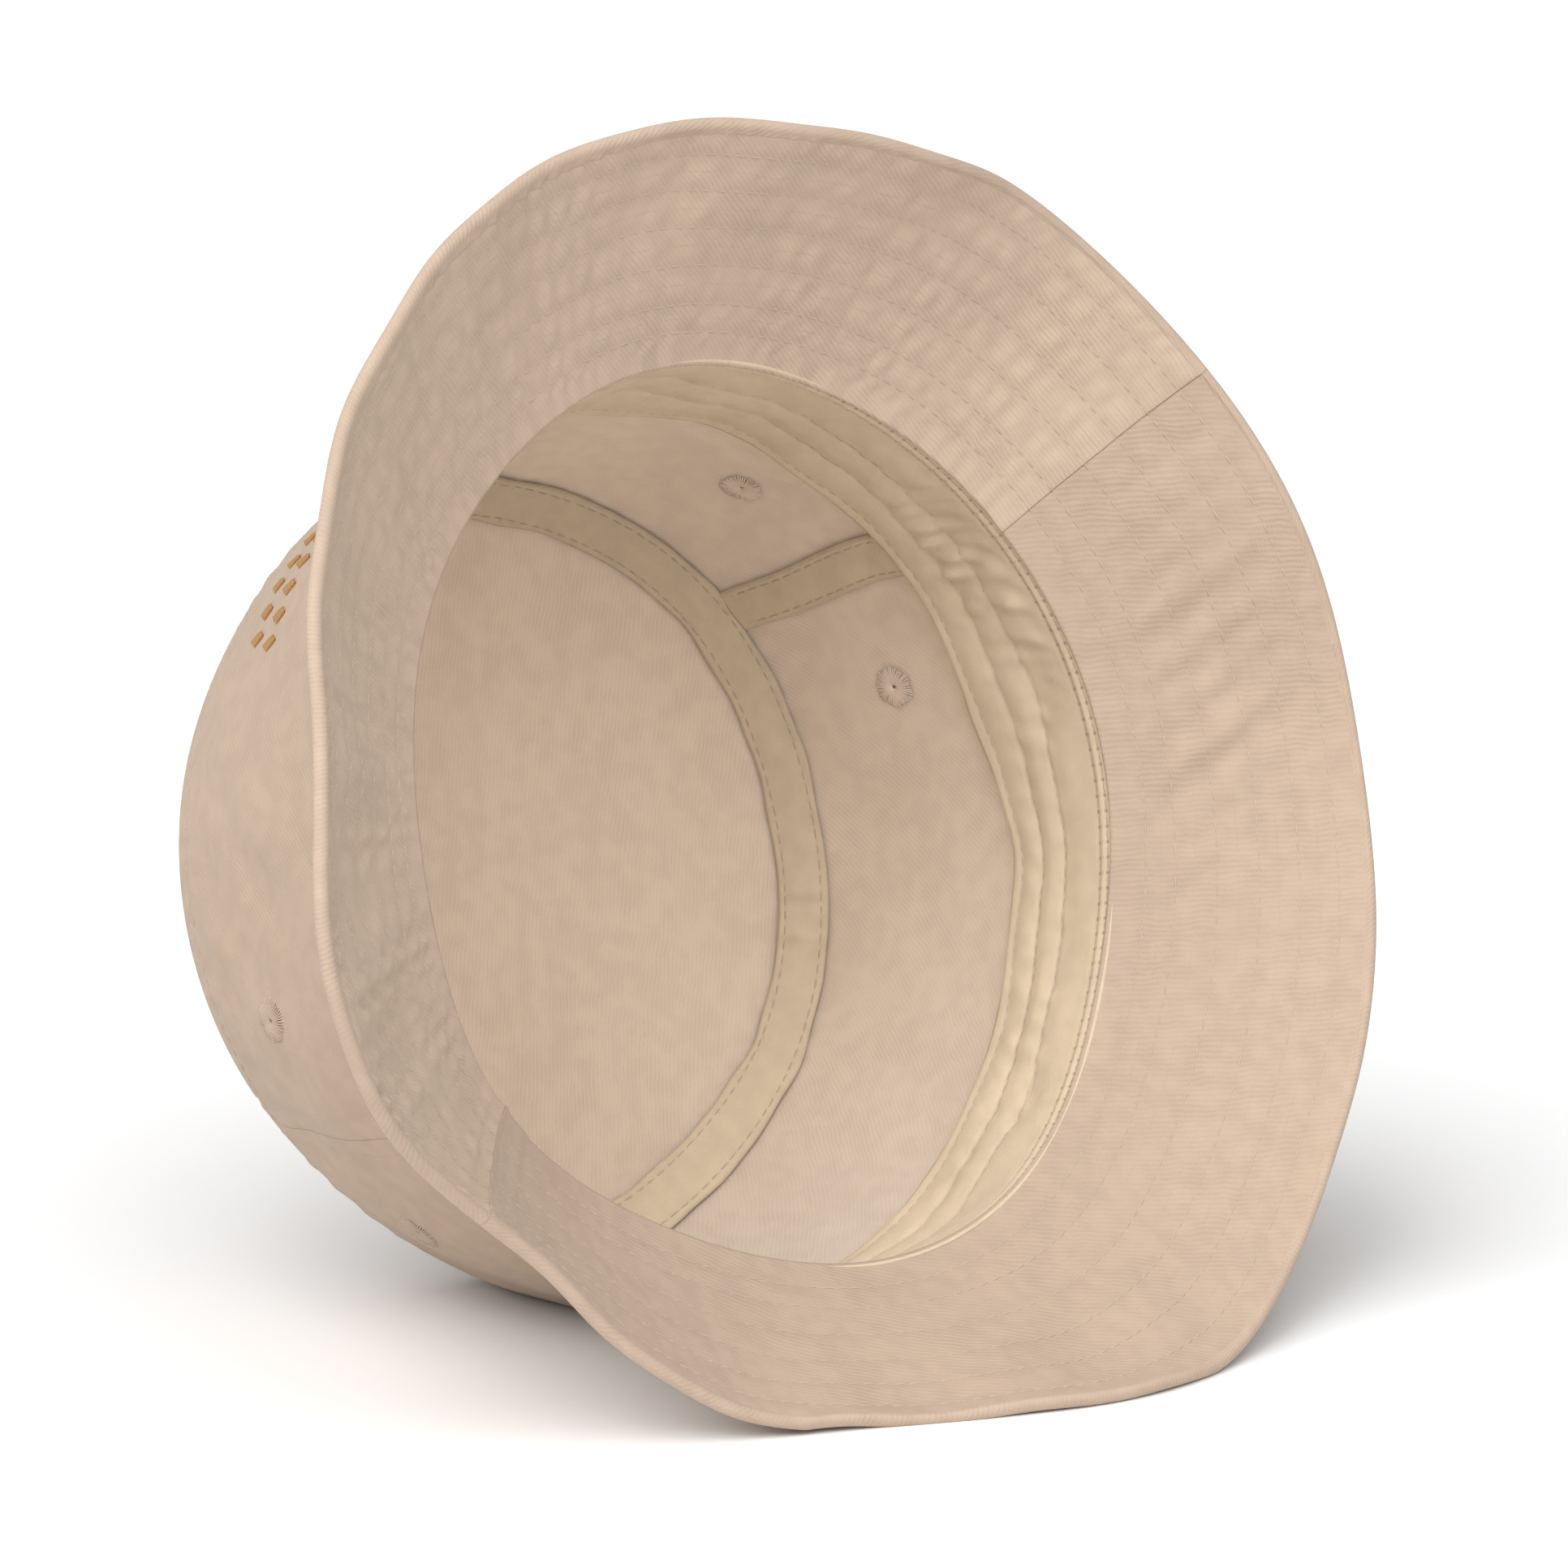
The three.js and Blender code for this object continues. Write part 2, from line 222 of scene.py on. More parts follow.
def around_seam(angle, middle, width):
    """1 at one angle of the hat, and smoothly down to 0 on either side of it."""
    away = np.angle(np.exp(1j * (angle - middle * DEGREE))) / (width * DEGREE)
    return np.exp(-(away**2))


def ease(value, low, high):
    """From 0 at low to 1 at high, with a smooth start and end."""
    t = np.clip((value - low) / (high - low), 0, 1)
    return t * t * (3 - 2 * t)


def puckers(seed, angle, across, radius, short, long, slant=0.3, count=7):
    """Smooth random folds from about -1 to 1 that meet themselves round the hat.

    They are short to long from one crest to the next at a radius, and slant as they cross."""
    draw = np.random.default_rng(seed)
    total = 0.0
    for _ in range(count):
        turns = round(FULL * radius / draw.uniform(short, long))
        lean = draw.uniform(-slant, slant)
        phase = draw.uniform(0, FULL)
        total = total + np.sin(turns * angle + FULL * across * lean / short + phase)
    return total / math.sqrt(count / 2)


class Hat:
    """The surfaces of the hat in its resting place, at angles, shares and depths."""

    def __init__(self, sizes):
        self.size = sizes
        # Points that the insides of the crown and of the brim face.
        self.head_centre = np.array([0, 0, sizes.crown_height / 2])
        self.under_brim = np.array([0, 0, -10 * sizes.brim_width])
        self.basis, self.origin = self.resting_pose()

    # Surfaces in the hat's own frame.

    def opening_normal(self, a):
        size = self.size
        return unit(vectors(np.cos(a) / size.half_width, np.sin(a) / size.half_length, 0 * a))

    def opening_edge(self, a):
        size = self.size
        lift = through(EDGE_LIFT, a) * MM
        base = vectors(size.half_width * np.cos(a), size.half_length * np.sin(a), lift)
        return base + self.opening_normal(a) * (through(EDGE_OUT, a) * MM)[..., None]

    def top_edge(self, a):
        size = self.size
        out = through(TOP_OUT, a) * MM
        x = (size.top_half_width + out) * np.cos(a)
        y = (size.top_half_length + out) * np.sin(a)
        return vectors(x, y, size.crown_height + through(TOP_LIFT, a) * MM)

    def crown_side(self, a, s):
        a, s = np.broadcast_arrays(a, s)
        low = self.opening_edge(a)
        bulge = 4 * through(SIDE_BULGE, a) * MM * s * (1 - s)
        wall = low + (self.top_edge(a) - low) * s[..., None]
        return wall + self.opening_normal(a) * bulge[..., None]

    def brim_width(self, a):
        return self.size.brim_width + through(BRIM_OUT, a) * MM

    def brim_top(self, a, s):
        a, s = np.broadcast_arrays(a, s)
        slope = through(BRIM_SLOPE, a) * DEGREE
        width = self.brim_width(a) * s
        arch = 4 * self.size.brim_arch * s * (1 - s)
        out = width * np.cos(slope) + arch * np.sin(slope)
        down = width * np.sin(slope) - arch * np.cos(slope)
        point = self.opening_edge(a) + self.opening_normal(a) * out[..., None]
        point[..., 2] -= down
        return point

    def crown_top(self, a, s):
        a, s = np.broadcast_arrays(a, s)
        size = self.size
        edge = self.top_edge(a)
        inset = size.cloth + size.ply_gap
        s = s * (1 - inset / np.hypot(edge[..., 0], edge[..., 1]))
        z = size.crown_height + size.dome * (1 - s * s)
        z = z + (edge[..., 2] - size.crown_height) * s * s
        return vectors(edge[..., 0] * s, edge[..., 1] * s, z)

    def below(self, surface, a, s, depth, towards):
        """The point a depth below a surface, on the side that faces towards."""
        step = 1e-3
        along = surface(a + step, s) - surface(a - step, s)
        across = surface(a, s + step) - surface(a, s - step)
        normal = unit(np.cross(along, across))
        point = surface(a, s)
        side = np.sign(np.sum(normal * (towards - point), axis=-1, keepdims=True))
        return point + normal * side * np.asarray(depth)[..., None]

    # The resting pose: brim edge and crown side both touch the floor.

    def laid(self, lean):
        axis = np.array([0, math.cos(lean), -math.sin(lean)])
        side = np.array([1.0, 0, 0])
        x = side * math.cos(TURN) + np.cross(axis, side) * math.sin(TURN)
        return np.stack([x, np.cross(axis, x), axis], axis=1)

    def resting_pose(self):
        a = np.arange(0, 240)[:, None] * FULL / 240
        edge = self.brim_top(a, np.array([[0.9, 1.0]]))
        side = self.crown_side(a, np.linspace(0.5, 1, 6)[None])
        flat, steep = 0.0, 60 * DEGREE
        for _ in range(40):
            lean = (flat + steep) / 2
            row = self.laid(lean)[2]
            if (side @ row).min() < (edge @ row).min():
                steep = lean
            else:
                flat = lean
        basis = self.laid(flat)
        height = -(edge @ basis[2]).min() - PRESS
        return basis, np.array([SEAT[0], SEAT[1], height])

    def place(self, point, depth):
        """A point of the hat's own frame on the floor, pressed flat where it would go through."""
        placed = point @ self.basis.T + self.origin
        placed[..., 2] = np.maximum(placed[..., 2], np.maximum(depth, 0))
        return placed

    # The faces that the pieces are made from. Depth runs into the cloth from its outer face.

    def brim(self, a, s, depth):
        a, s, depth = np.broadcast_arrays(a, s, depth)
        point = self.below(self.brim_top, a, s, depth, self.under_brim)
        return self.place(point, depth)

    def side(self, a, s, depth):
        a, s, depth = np.broadcast_arrays(a, s, depth)
        point = self.below(self.crown_side, a, s, depth + self.side_folds(a, s), self.head_centre)
        return self.place(point, depth)

    def top(self, a, s, depth):
        a, s, depth = np.broadcast_arrays(a, s, depth)
        point = self.crown_top(a, s)
        point[..., 2] -= depth + self.top_folds(a, s)
        return self.place(point, np.maximum(depth, self.size.cloth + self.size.ply_gap))

    def corner(self, a, w, depth):
        """Across the corner between crown side and crown top, under the seam tape."""
        a, w, depth = np.broadcast_arrays(a, w, depth)
        size = self.size
        half = CORNER_REACH * size.tape_width
        behind = size.cloth + size.curved_gap

        def chord(a, w):
            low_s = 1 - half / size.crown_height + 0 * a
            low = self.below(self.crown_side, a, low_s, behind + 0 * a, self.head_centre)
            high = self.crown_top(a, 1 - half / size.top_half_width + 0 * a)
            high[..., 2] -= behind
            return low + (high - low) * np.asarray(w)[..., None]

        point = self.below(chord, a, w, depth, self.head_centre)
        return self.place(point, behind + depth)

    def side_folds(self, a, s):
        """Soft folds of the crown side, none at its seams."""
        v = s * self.size.crown_height
        hold = ease(s, 0.30, 0.55) * (1 - ease(s, 0.80, 0.94))
        soft = puckers(11, a, v, 0.09, 0.05, 0.11, 0.8, 6)
        drawn = puckers(13, a, v, 0.09, 0.018, 0.035, 0.9, 5) * (0.35 + around_seam(a, 20, 40))
        return (0.7 * soft + 0.3 * drawn) * MM * hold

    def top_folds(self, a, s):
        """Soft folds of the crown top, none at its seam."""
        r = s * self.size.top_half_width
        x, y = r * np.cos(a), r * np.sin(a)
        soft = np.sin(x / 0.017 + 1.2) * np.sin(y / 0.023 + 0.4) + 0.6 * np.sin((x + y) / 0.012)
        return 0.5 * MM * soft * (1 - ease(s, 0.6, 0.9))


# ---- Meshes ---------------------------------------------------------------------------------


def clear(name):
    """Removes a piece made before, so that its operator can be run again."""
    old = bpy.data.objects.get(name)
    if old is not None:
        bpy.data.objects.remove(old)


def make_object(name, points, polygons, layers, material):
    """A smooth mesh object. Layers are the coordinates of each polygon corner, by name."""
    clear(name)
    mesh = bpy.data.meshes.new(name)
    mesh.from_pydata(points.reshape(-1, 3).tolist(), [], polygons)
    for layer_name, corners in layers.items():
        layer = mesh.uv_layers.new(name=layer_name)
        layer.data.foreach_set("uv", np.ascontiguousarray(corners, np.float32).ravel())
    mesh.polygons.foreach_set("use_smooth", np.ones(len(mesh.polygons), bool))
    mesh.materials.append(material)
    mesh.update()
    piece = bpy.data.objects.new(name, mesh)
    bpy.context.scene.collection.objects.link(piece)
    return piece


def signed_volume(points, quads):
    """Above 0 where the quads face out, below 0 where they face in."""
    p = points.reshape(-1, 3)[quads]
    first = np.einsum("ij,ij->i", p[:, 0], np.cross(p[:, 1], p[:, 2])).sum()
    second = np.einsum("ij,ij->i", p[:, 0], np.cross(p[:, 2], p[:, 3])).sum()
    return first + second


def sweep(name, points, layers, material, ring=False, loop=True, holes=None, weld=False):
    """A closed mesh of columns of points, each column one section of the piece.

    With ring, the last column repeats the first. With loop, each section closes on itself.
    Holes marks the squares of the first half of the section that are left out, with those
    that lie behind them, and a wall joins the two edges."""
    columns, rows = points.shape[:2]
    count = columns - 1 if ring else columns
    index = (np.arange(columns) % count)[:, None] * rows + np.arange(rows)[None]
    low = np.arange(rows if loop else rows - 1)
    high = (low + 1) % rows
    keep = np.ones((columns - 1, len(low)), bool)
    if holes is not None:
        face = holes.shape[1]
        keep[:, :face] &= ~holes
        keep[:, rows - 1 - face : rows - 1] &= ~holes[:, ::-1]

    def corners(grid):
        parts = [grid[:-1][:, low], grid[1:][:, low], grid[1:][:, high], grid[:-1][:, high]]
        return np.stack(parts, axis=2)[keep]

    quads = corners(index)
    flat = {key: corners(value) for key, value in layers.items()}
    if holes is not None:
        walls = []
        places = []
        padded = np.pad(holes, 1)
        for i, j in np.argwhere(holes):
            ways = (
                (padded[i, j + 1], (i, j), (i, j + 1)),
                (padded[i + 2, j + 1], (i + 1, j + 1), (i + 1, j)),
                (padded[i + 1, j], (i + 1, j), (i, j)),
                (padded[i + 1, j + 2], (i, j + 1), (i + 1, j + 1)),
            )
            for beyond, p, q in ways:
                if beyond:
                    continue
                back = [(c[0], rows - 1 - c[1]) for c in (q, p)]
                cell = [p, q, *back]
                walls.append([index[c] for c in cell])
                places.append(cell)
        quads = np.concatenate([quads, np.array(walls)])
        for key, value in layers.items():
            extra = np.array([[value[c] for c in cell] for cell in places])
            flat[key] = np.concatenate([flat[key], extra])
    turned = signed_volume(points[:count], quads) < 0
    if turned:
        quads = quads[:, ::-1]
        flat = {key: value[:, ::-1] for key, value in flat.items()}
    polygons = quads.tolist()
    flat = {key: value.reshape(-1, 2) for key, value in flat.items()}
    if not ring:
        ends = [index[0].tolist(), index[-1][::-1].tolist()]
        for column, end in ((0, ends[0]), (-1, ends[1])):
            polygons.append(end[::-1] if turned else end)
            for key, value in layers.items():
                corner = value[column] if column == 0 else value[column][::-1]
                flat[key] = np.concatenate([flat[key], corner[::-1] if turned else corner])
    piece = make_object(name, points[:count], polygons, flat, material)
    if weld:
        work = bmesh.new()
        work.from_mesh(piece.data)
        bmesh.ops.remove_doubles(work, verts=work.verts, dist=1e-7)
        work.to_mesh(piece.data)
        work.free()
    return piece


class Threads:
    """Short lengths of thread gathered into one piece."""

    sides = 6

    def __init__(self):
        self.points = []
        self.quads = []
        self.flat = []
        self.caps = []
        self.count = 0

    def add(self, paths, normals, radius):
        """Tubes along paths[tube, step], which taper as radius[step] or radius[tube, step] says."""
        tubes, steps = paths.shape[:2]
        radius = np.broadcast_to(radius, (tubes, steps))
        along = unit(np.gradient(paths, axis=1))
        across = unit(np.cross(along, normals))
        up = np.cross(across, along)
        turn = np.arange(self.sides) * FULL / self.sides
        ring = across[:, :, None] * np.cos(turn)[:, None] + up[:, :, None] * np.sin(turn)[:, None]
        points = paths[:, :, None] + ring * radius[:, :, None, None]
        index = np.arange(tubes * steps * self.sides).reshape(tubes, steps, self.sides) + self.count
        after = np.roll(index, -1, axis=2)
        quads = np.stack([index[:, :-1], index[:, 1:], after[:, 1:], after[:, :-1]], axis=-1)
        travel = np.linalg.norm(np.diff(paths, axis=1), axis=-1)
        travel = np.concatenate([np.zeros((tubes, 1)), np.cumsum(travel, axis=1)], axis=1)
        sides = np.arange(self.sides) / self.sides
        near, far, step = slice(0, -1), slice(1, None), 1 / self.sides
        flat = [
            pairs(travel[:, i, None], sides[None] + j)
            for i, j in ((near, 0), (far, 0), (far, step), (near, step))
        ]
        self.points.append(points.reshape(-1, 3))
        self.quads.append(quads.reshape(-1, 4))
        self.flat.append(np.stack([f.reshape(-1, 2) for f in flat], axis=1).reshape(-1, 2))
        self.caps.extend(np.concatenate([index[:, 0], index[:, -1, ::-1]]).tolist())
        self.count += index.size

    def build(self, name, material):
        """The piece, with thread that reaches the floor pressed flat on it."""
        points = np.concatenate(self.points)
        points[:, 2] = np.maximum(points[:, 2], 0)
        quads = np.concatenate(self.quads)
        flat = np.concatenate(self.flat)
        ends = np.zeros((len(self.caps) * self.sides, 2))
        polygons = quads.tolist() + self.caps
        return make_object(name, points, polygons, {"cloth": np.concatenate([flat, ends])}, material)


def stitch_row(threads, line, normals, stitches, seed, sink=0.0, travel=None):
    """Sews one row of separate stitches along a line of points on a face.

    Sink is how much deeper than usual the thread lies, in half thicknesses. Travel is the
    distance sewn at each point, where that isn't simply the length of the line."""
    if travel is None:
        steps = np.linalg.norm(np.diff(line, axis=0), axis=1)
        travel = np.concatenate([[0], np.cumsum(steps)])
    pitch = stitches.pitch
    count = int(travel[-1] / pitch)
    if count < 1:
        raise RuntimeError("a stitch row is shorter than one stitch")
    draw = np.random.default_rng(seed)
    start = (np.arange(count) + 0.5) * pitch
    start = start + draw.uniform(-0.06, 0.06, count) * pitch
    span = stitches.length * draw.uniform(0.9, 1.06, count)
    share = np.array([-0.5, -0.3, 0.0, 0.3, 0.5])
    rise = np.array([-0.9, 0.15, 0.45, 0.15, -0.9]) - sink
    at = start[:, None] + share[None] * span[:, None]
    paths = np.stack([np.interp(at, travel, line[:, k]) for k in range(3)], axis=-1)
    up = unit(np.stack([np.interp(at, travel, normals[:, k]) for k in range(3)], axis=-1))
    radius = stitches.thickness / 2
    paths = paths + up * (rise * radius)[None, :, None]
    thick = radius * np.array([0.5, 0.95, 1.05, 0.95, 0.5])
    threads.add(paths, up, thick[None] * draw.uniform(0.9, 1.1, count)[:, None])


def line_on(face, a, s):
    """Points along a face and its outward normals there."""
    line = face(a, s, 0.0)
    return line, unit(face(a, s, 1e-4) - line)


# ---- Materials ------------------------------------------------------------------------------


class Nodes:
    """Adds nodes to a tree and joins them up."""

    def __init__(self, tree):
        self.tree = tree
        self.place = 0

    def add(self, kind, **settings):
        node = self.tree.nodes.new(kind)
        node.location = (180 * (self.place % 8), -220 * (self.place // 8))
        self.place += 1
        for key, value in settings.items():
            setattr(node, key, value)
        return node

    def feed(self, socket, value):
        """Joins another node's output to a socket, or sets the socket's own value."""
        if isinstance(value, bpy.types.NodeSocket):
            self.tree.links.new(value, socket)
        else:
            socket.default_value = value

    def math(self, operation, *values, clamp=False):
        node = self.add("ShaderNodeMath", operation=operation, use_clamp=clamp)
        for socket, value in zip(node.inputs, values):
            self.feed(socket, value)
        return node.outputs[0]

    def between(self, value, low, high, first=0.0, last=1.0):
        """A smooth step from first, where the value is low, to last, where it is high."""
        node = self.add("ShaderNodeMapRange", interpolation_type="SMOOTHSTEP")
        for socket, entry in zip(node.inputs, (value, low, high, first, last)):
            self.feed(socket, entry)
        return node.outputs[0]

    def noise(self, vector, scale, detail=2.0, roughness=0.5):
        node = self.add("ShaderNodeTexNoise")
        self.feed(node.inputs["Vector"], vector)
        self.feed(node.inputs["Scale"], scale)
        self.feed(node.inputs["Detail"], detail)
        self.feed(node.inputs["Roughness"], roughness)
        return node.outputs[0]

    def mix(self, share, first, second):
        """A colour between two, by the share of the second."""
        node = self.add("ShaderNodeMix", data_type="RGBA")
        self.feed(node.inputs[0], share)
        self.feed(node.inputs[6], first)
        self.feed(node.inputs[7], second)
        return node.outputs[2]

    def group(self, tree, **values):
        """Places a node group with its own values and gives its outputs."""
        node = self.add("ShaderNodeGroup", node_tree=tree)
        for key, value in values.items():
            self.feed(node.inputs[key.replace("_", " ")], value)
        return node.outputs


def new_group(name, inputs, outputs):
    """An empty node group with named sockets, and its entry and exit."""
    tree = bpy.data.node_groups.new(name, "ShaderNodeTree")
    for label, kind, default in inputs:
        socket = tree.interface.new_socket(label, in_out="INPUT", socket_type=kind)
        if default is not None:
            socket.default_value = default
    for label, kind in outputs:
        tree.interface.new_socket(label, in_out="OUTPUT", socket_type=kind)
    nodes = Nodes(tree)
    entry = nodes.add("NodeGroupInput").outputs
    leave = nodes.add("NodeGroupOutput").inputs
    return tree, nodes, entry, leave


def twill_weave():
    """Slanting ribs of a twill, each crossed by its finer yarns."""
    known = bpy.data.node_groups.get("Twill weave")
    if known is not None:
        return known
    tree, nodes, entry, leave = new_group(
        "Twill weave",
        [
            ("Vector", "NodeSocketVector", None),
            ("Pitch", "NodeSocketFloat", 0.001),
            ("Angle", "NodeSocketFloat", 0.8),
        ],
        [("Height", "NodeSocketFloat"), ("Shade", "NodeSocketFloat")],
    )
    turned = nodes.add("ShaderNodeVectorRotate", rotation_type="Z_AXIS")
    nodes.feed(turned.inputs["Vector"], entry["Vector"])
    nodes.feed(turned.inputs["Angle"], entry["Angle"])
    split = nodes.add("ShaderNodeSeparateXYZ")
    nodes.feed(split.inputs[0], turned.outputs[0])
    wander = nodes.math("MULTIPLY", nodes.noise(entry["Vector"], 160.0, 2.0), 1.6)
    ribs = nodes.math("DIVIDE", split.outputs[0], entry["Pitch"])
    ribs = nodes.math("ADD", ribs, wander)
    rib = nodes.math("SINE", nodes.math("MULTIPLY", ribs, FULL))
    yarns = nodes.math("DIVIDE", split.outputs[1], nodes.math("MULTIPLY", entry["Pitch"], 0.62))
    yarns = nodes.math("ADD", yarns, nodes.math("MULTIPLY", ribs, 0.5))
    yarn = nodes.math("SINE", nodes.math("MULTIPLY", yarns, FULL))
    patch = nodes.between(nodes.noise(entry["Vector"], 55.0, 3.0), 0.35, 0.62, 0.35, 1.0)
    height = nodes.math("MULTIPLY_ADD", yarn, 0.22, rib)
    height = nodes.math("MULTIPLY", height, patch)
    nodes.feed(leave["Height"], nodes.math("MULTIPLY_ADD", height, 0.4, 0.5))
    nodes.feed(leave["Shade"], nodes.between(height, -1.0, 1.0))
    return tree


def plain_weave():
    """Fine square weave of the tapes."""
    known = bpy.data.node_groups.get("Plain weave")
    if known is not None:
        return known
    tree, nodes, entry, leave = new_group(
        "Plain weave",
        [("Vector", "NodeSocketVector", None), ("Pitch", "NodeSocketFloat", 0.0006)],
        [("Height", "NodeSocketFloat"), ("Shade", "NodeSocketFloat")],
    )
    split = nodes.add("ShaderNodeSeparateXYZ")
    nodes.feed(split.inputs[0], entry["Vector"])
    waves = []
    for way in (0, 1):
        threads = nodes.math("DIVIDE", split.outputs[way], entry["Pitch"])
        waves.append(nodes.math("SINE", nodes.math("MULTIPLY", threads, FULL)))
    weave = nodes.math("MULTIPLY", waves[0], waves[1])
    slub = nodes.math("SUBTRACT", nodes.noise(entry["Vector"], 900.0, 2.0), 0.5)
    height = nodes.math("MULTIPLY_ADD", slub, 1.2, weave)
    nodes.feed(leave["Height"], nodes.math("MULTIPLY_ADD", height, 0.4, 0.5))
    nodes.feed(leave["Shade"], nodes.between(height, -1.0, 1.0))
    return tree


def washed_look():
    """Uneven tone of washed cotton: broad clouds, small flecks, and a fine fuzz to feel."""
    known = bpy.data.node_groups.get("Washed look")
    if known is not None:
        return known
    tree, nodes, entry, leave = new_group(
        "Washed look",
        [
            ("Vector", "NodeSocketVector", None),
            ("Clouds", "NodeSocketFloat", 45.0),
            ("Flecks", "NodeSocketFloat", 1400.0),
        ],
        [("Tone", "NodeSocketFloat"), ("Fuzz", "NodeSocketFloat")],
    )
    clouds = nodes.noise(entry["Vector"], entry["Clouds"], 4.0, 0.6)
    spots = nodes.noise(entry["Vector"], nodes.math("MULTIPLY", entry["Clouds"], 4.4), 1.0, 0.4)
    flecks = nodes.noise(entry["Vector"], entry["Flecks"], 2.0, 0.6)
    tone = nodes.math("MULTIPLY_ADD", flecks, 0.2, nodes.math("MULTIPLY", clouds, 0.4))
    tone = nodes.math("MULTIPLY_ADD", spots, 0.4, tone)
    nodes.feed(leave["Tone"], nodes.between(tone, 0.40, 0.60))
    nodes.feed(leave["Fuzz"], flecks)
    return tree


def needle_holes():
    """Marks where the thread of a row goes in, from distances along and off the row; the cloth paints
    them dark as painted shade in the holes.
    """
    known = bpy.data.node_groups.get("Needle holes")
    if known is not None:
        return known
    tree, nodes, entry, leave = new_group(
        "Needle holes",
        [
            ("Vector", "NodeSocketVector", None),
            ("Pitch", "NodeSocketFloat", 0.0033),
            ("Size", "NodeSocketFloat", 0.00075),
        ],
        [("Hole", "NodeSocketFloat")],
    )
    split = nodes.add("ShaderNodeSeparateXYZ")
    nodes.feed(split.inputs[0], entry["Vector"])
    step = nodes.math("DIVIDE", split.outputs[0], entry["Pitch"])
    step = nodes.math("FRACT", nodes.math("ADD", step, 0.5))
    along = nodes.math("MULTIPLY", nodes.math("SUBTRACT", step, 0.5), entry["Pitch"])
    away = nodes.math("POWER", split.outputs[1], 2.0)
    away = nodes.math("SQRT", nodes.math("MULTIPLY_ADD", along, along, away))
    nodes.feed(leave["Hole"], nodes.between(away, entry["Size"], 0.0, 0.0, 1.0))
    return tree


def swell_highlights():
    """Painted highlights: paler spots where the cloth swells between two stitch rows, standing in for
    the light on the puffs.
    """
    known = bpy.data.node_groups.get("Swell highlights")
    if known is not None:
        return known
    tree, nodes, entry, leave = new_group(
        "Swell highlights", [("Vector", "NodeSocketVector", None)], [("Highlight", "NodeSocketFloat")]
    )
    split = nodes.add("ShaderNodeSeparateXYZ")
    nodes.feed(split.inputs[0], entry["Vector"])
    column = nodes.add("ShaderNodeCombineXYZ")
    nodes.feed(column.inputs[0], split.outputs[0])
    swell = nodes.between(nodes.noise(column.outputs[0], 240.0, 0.0), 0.40, 0.60)
    away = nodes.between(nodes.math("ABSOLUTE", split.outputs[1]), 0.0008, 0.0034)
    nodes.feed(leave["Highlight"], nodes.math("MULTIPLY", swell, away))
    return tree


def start_material(name, roughness, sheen=0.0):
    """A new material, its shader and its nodes."""
    material = bpy.data.materials.new(name)
    material.use_nodes = True
    shader = material.node_tree.nodes["Principled BSDF"]
    shader.inputs["Roughness"].default_value = roughness
    shader.inputs["Specular IOR Level"].default_value = 0.25
    shader.inputs["Sheen Weight"].default_value = sheen
    shader.inputs["Sheen Roughness"].default_value = 0.5
    return material, shader, Nodes(material.node_tree)


def shade(tint, share):
    """A colour made darker or paler."""
    return (*[c * share for c in tint], 1.0)


def cloth_material(
    name, tint, pitch, angle=None, bump=0.35, holes=0.0, spots=0.0, light_through=0.0
):
    """Washed cotton: a weave to feel and see, clouds of tone, needle holes along its rows with painted
    shade in them, and painted highlights where it swells between rows.

    Angle is the way of the twill's ribs. A cloth without one is a plain weave."""
    known = bpy.data.materials.get(name)
    if known is not None:
        return known
    material, shader, nodes = start_material(name, 0.92, 0.12)
    shader.inputs["Subsurface Weight"].default_value = light_through
    shader.inputs["Subsurface Radius"].default_value = (1.0, 1.0, 1.0)
    shader.inputs["Subsurface Scale"].default_value = 4 * MM
    flat = nodes.add("ShaderNodeUVMap", uv_map="cloth").outputs[0]
    rows = nodes.add("ShaderNodeUVMap", uv_map="rows").outputs[0]
    if angle is None:
        woven = nodes.group(plain_weave(), Vector=flat, Pitch=pitch)
    else:
        woven = nodes.group(twill_weave(), Vector=flat, Pitch=pitch, Angle=angle)
    washed = nodes.group(washed_look(), Vector=flat)
    pricks = nodes.group(needle_holes(), Vector=rows)
    base = nodes.mix(washed["Tone"], shade(tint, 0.93), shade(tint, 1.02))
    base = nodes.mix(nodes.math("MULTIPLY", woven["Shade"], 0.26), base, shade(tint, 1.22))
    # Painted shade in the needle holes, which the bump below also presses in.
    base = nodes.mix(nodes.math("MULTIPLY", pricks["Hole"], holes), base, shade(tint, 0.3))
    # Painted highlights where the cloth swells between the rows.
    swell_light = nodes.group(swell_highlights(), Vector=rows)
    base = nodes.mix(nodes.math("MULTIPLY", swell_light["Highlight"], spots), base, shade(tint, 1.18))
    nodes.feed(shader.inputs["Base Color"], base)
    rough = nodes.between(washed["Fuzz"], 0.2, 0.8, 0.86, 0.97)
    nodes.feed(shader.inputs["Roughness"], rough)
    height = nodes.math("MULTIPLY_ADD", washed["Fuzz"], 0.35, woven["Height"])
    height = nodes.math("MULTIPLY_ADD", pricks["Hole"], -1.5 * holes, height)
    lift = nodes.add("ShaderNodeBump")
    lift.inputs["Strength"].default_value = bump
    lift.inputs["Distance"].default_value = 0.22 * MM
    nodes.feed(lift.inputs["Height"], height)
    nodes.feed(shader.inputs["Normal"], lift.outputs[0])
    return material


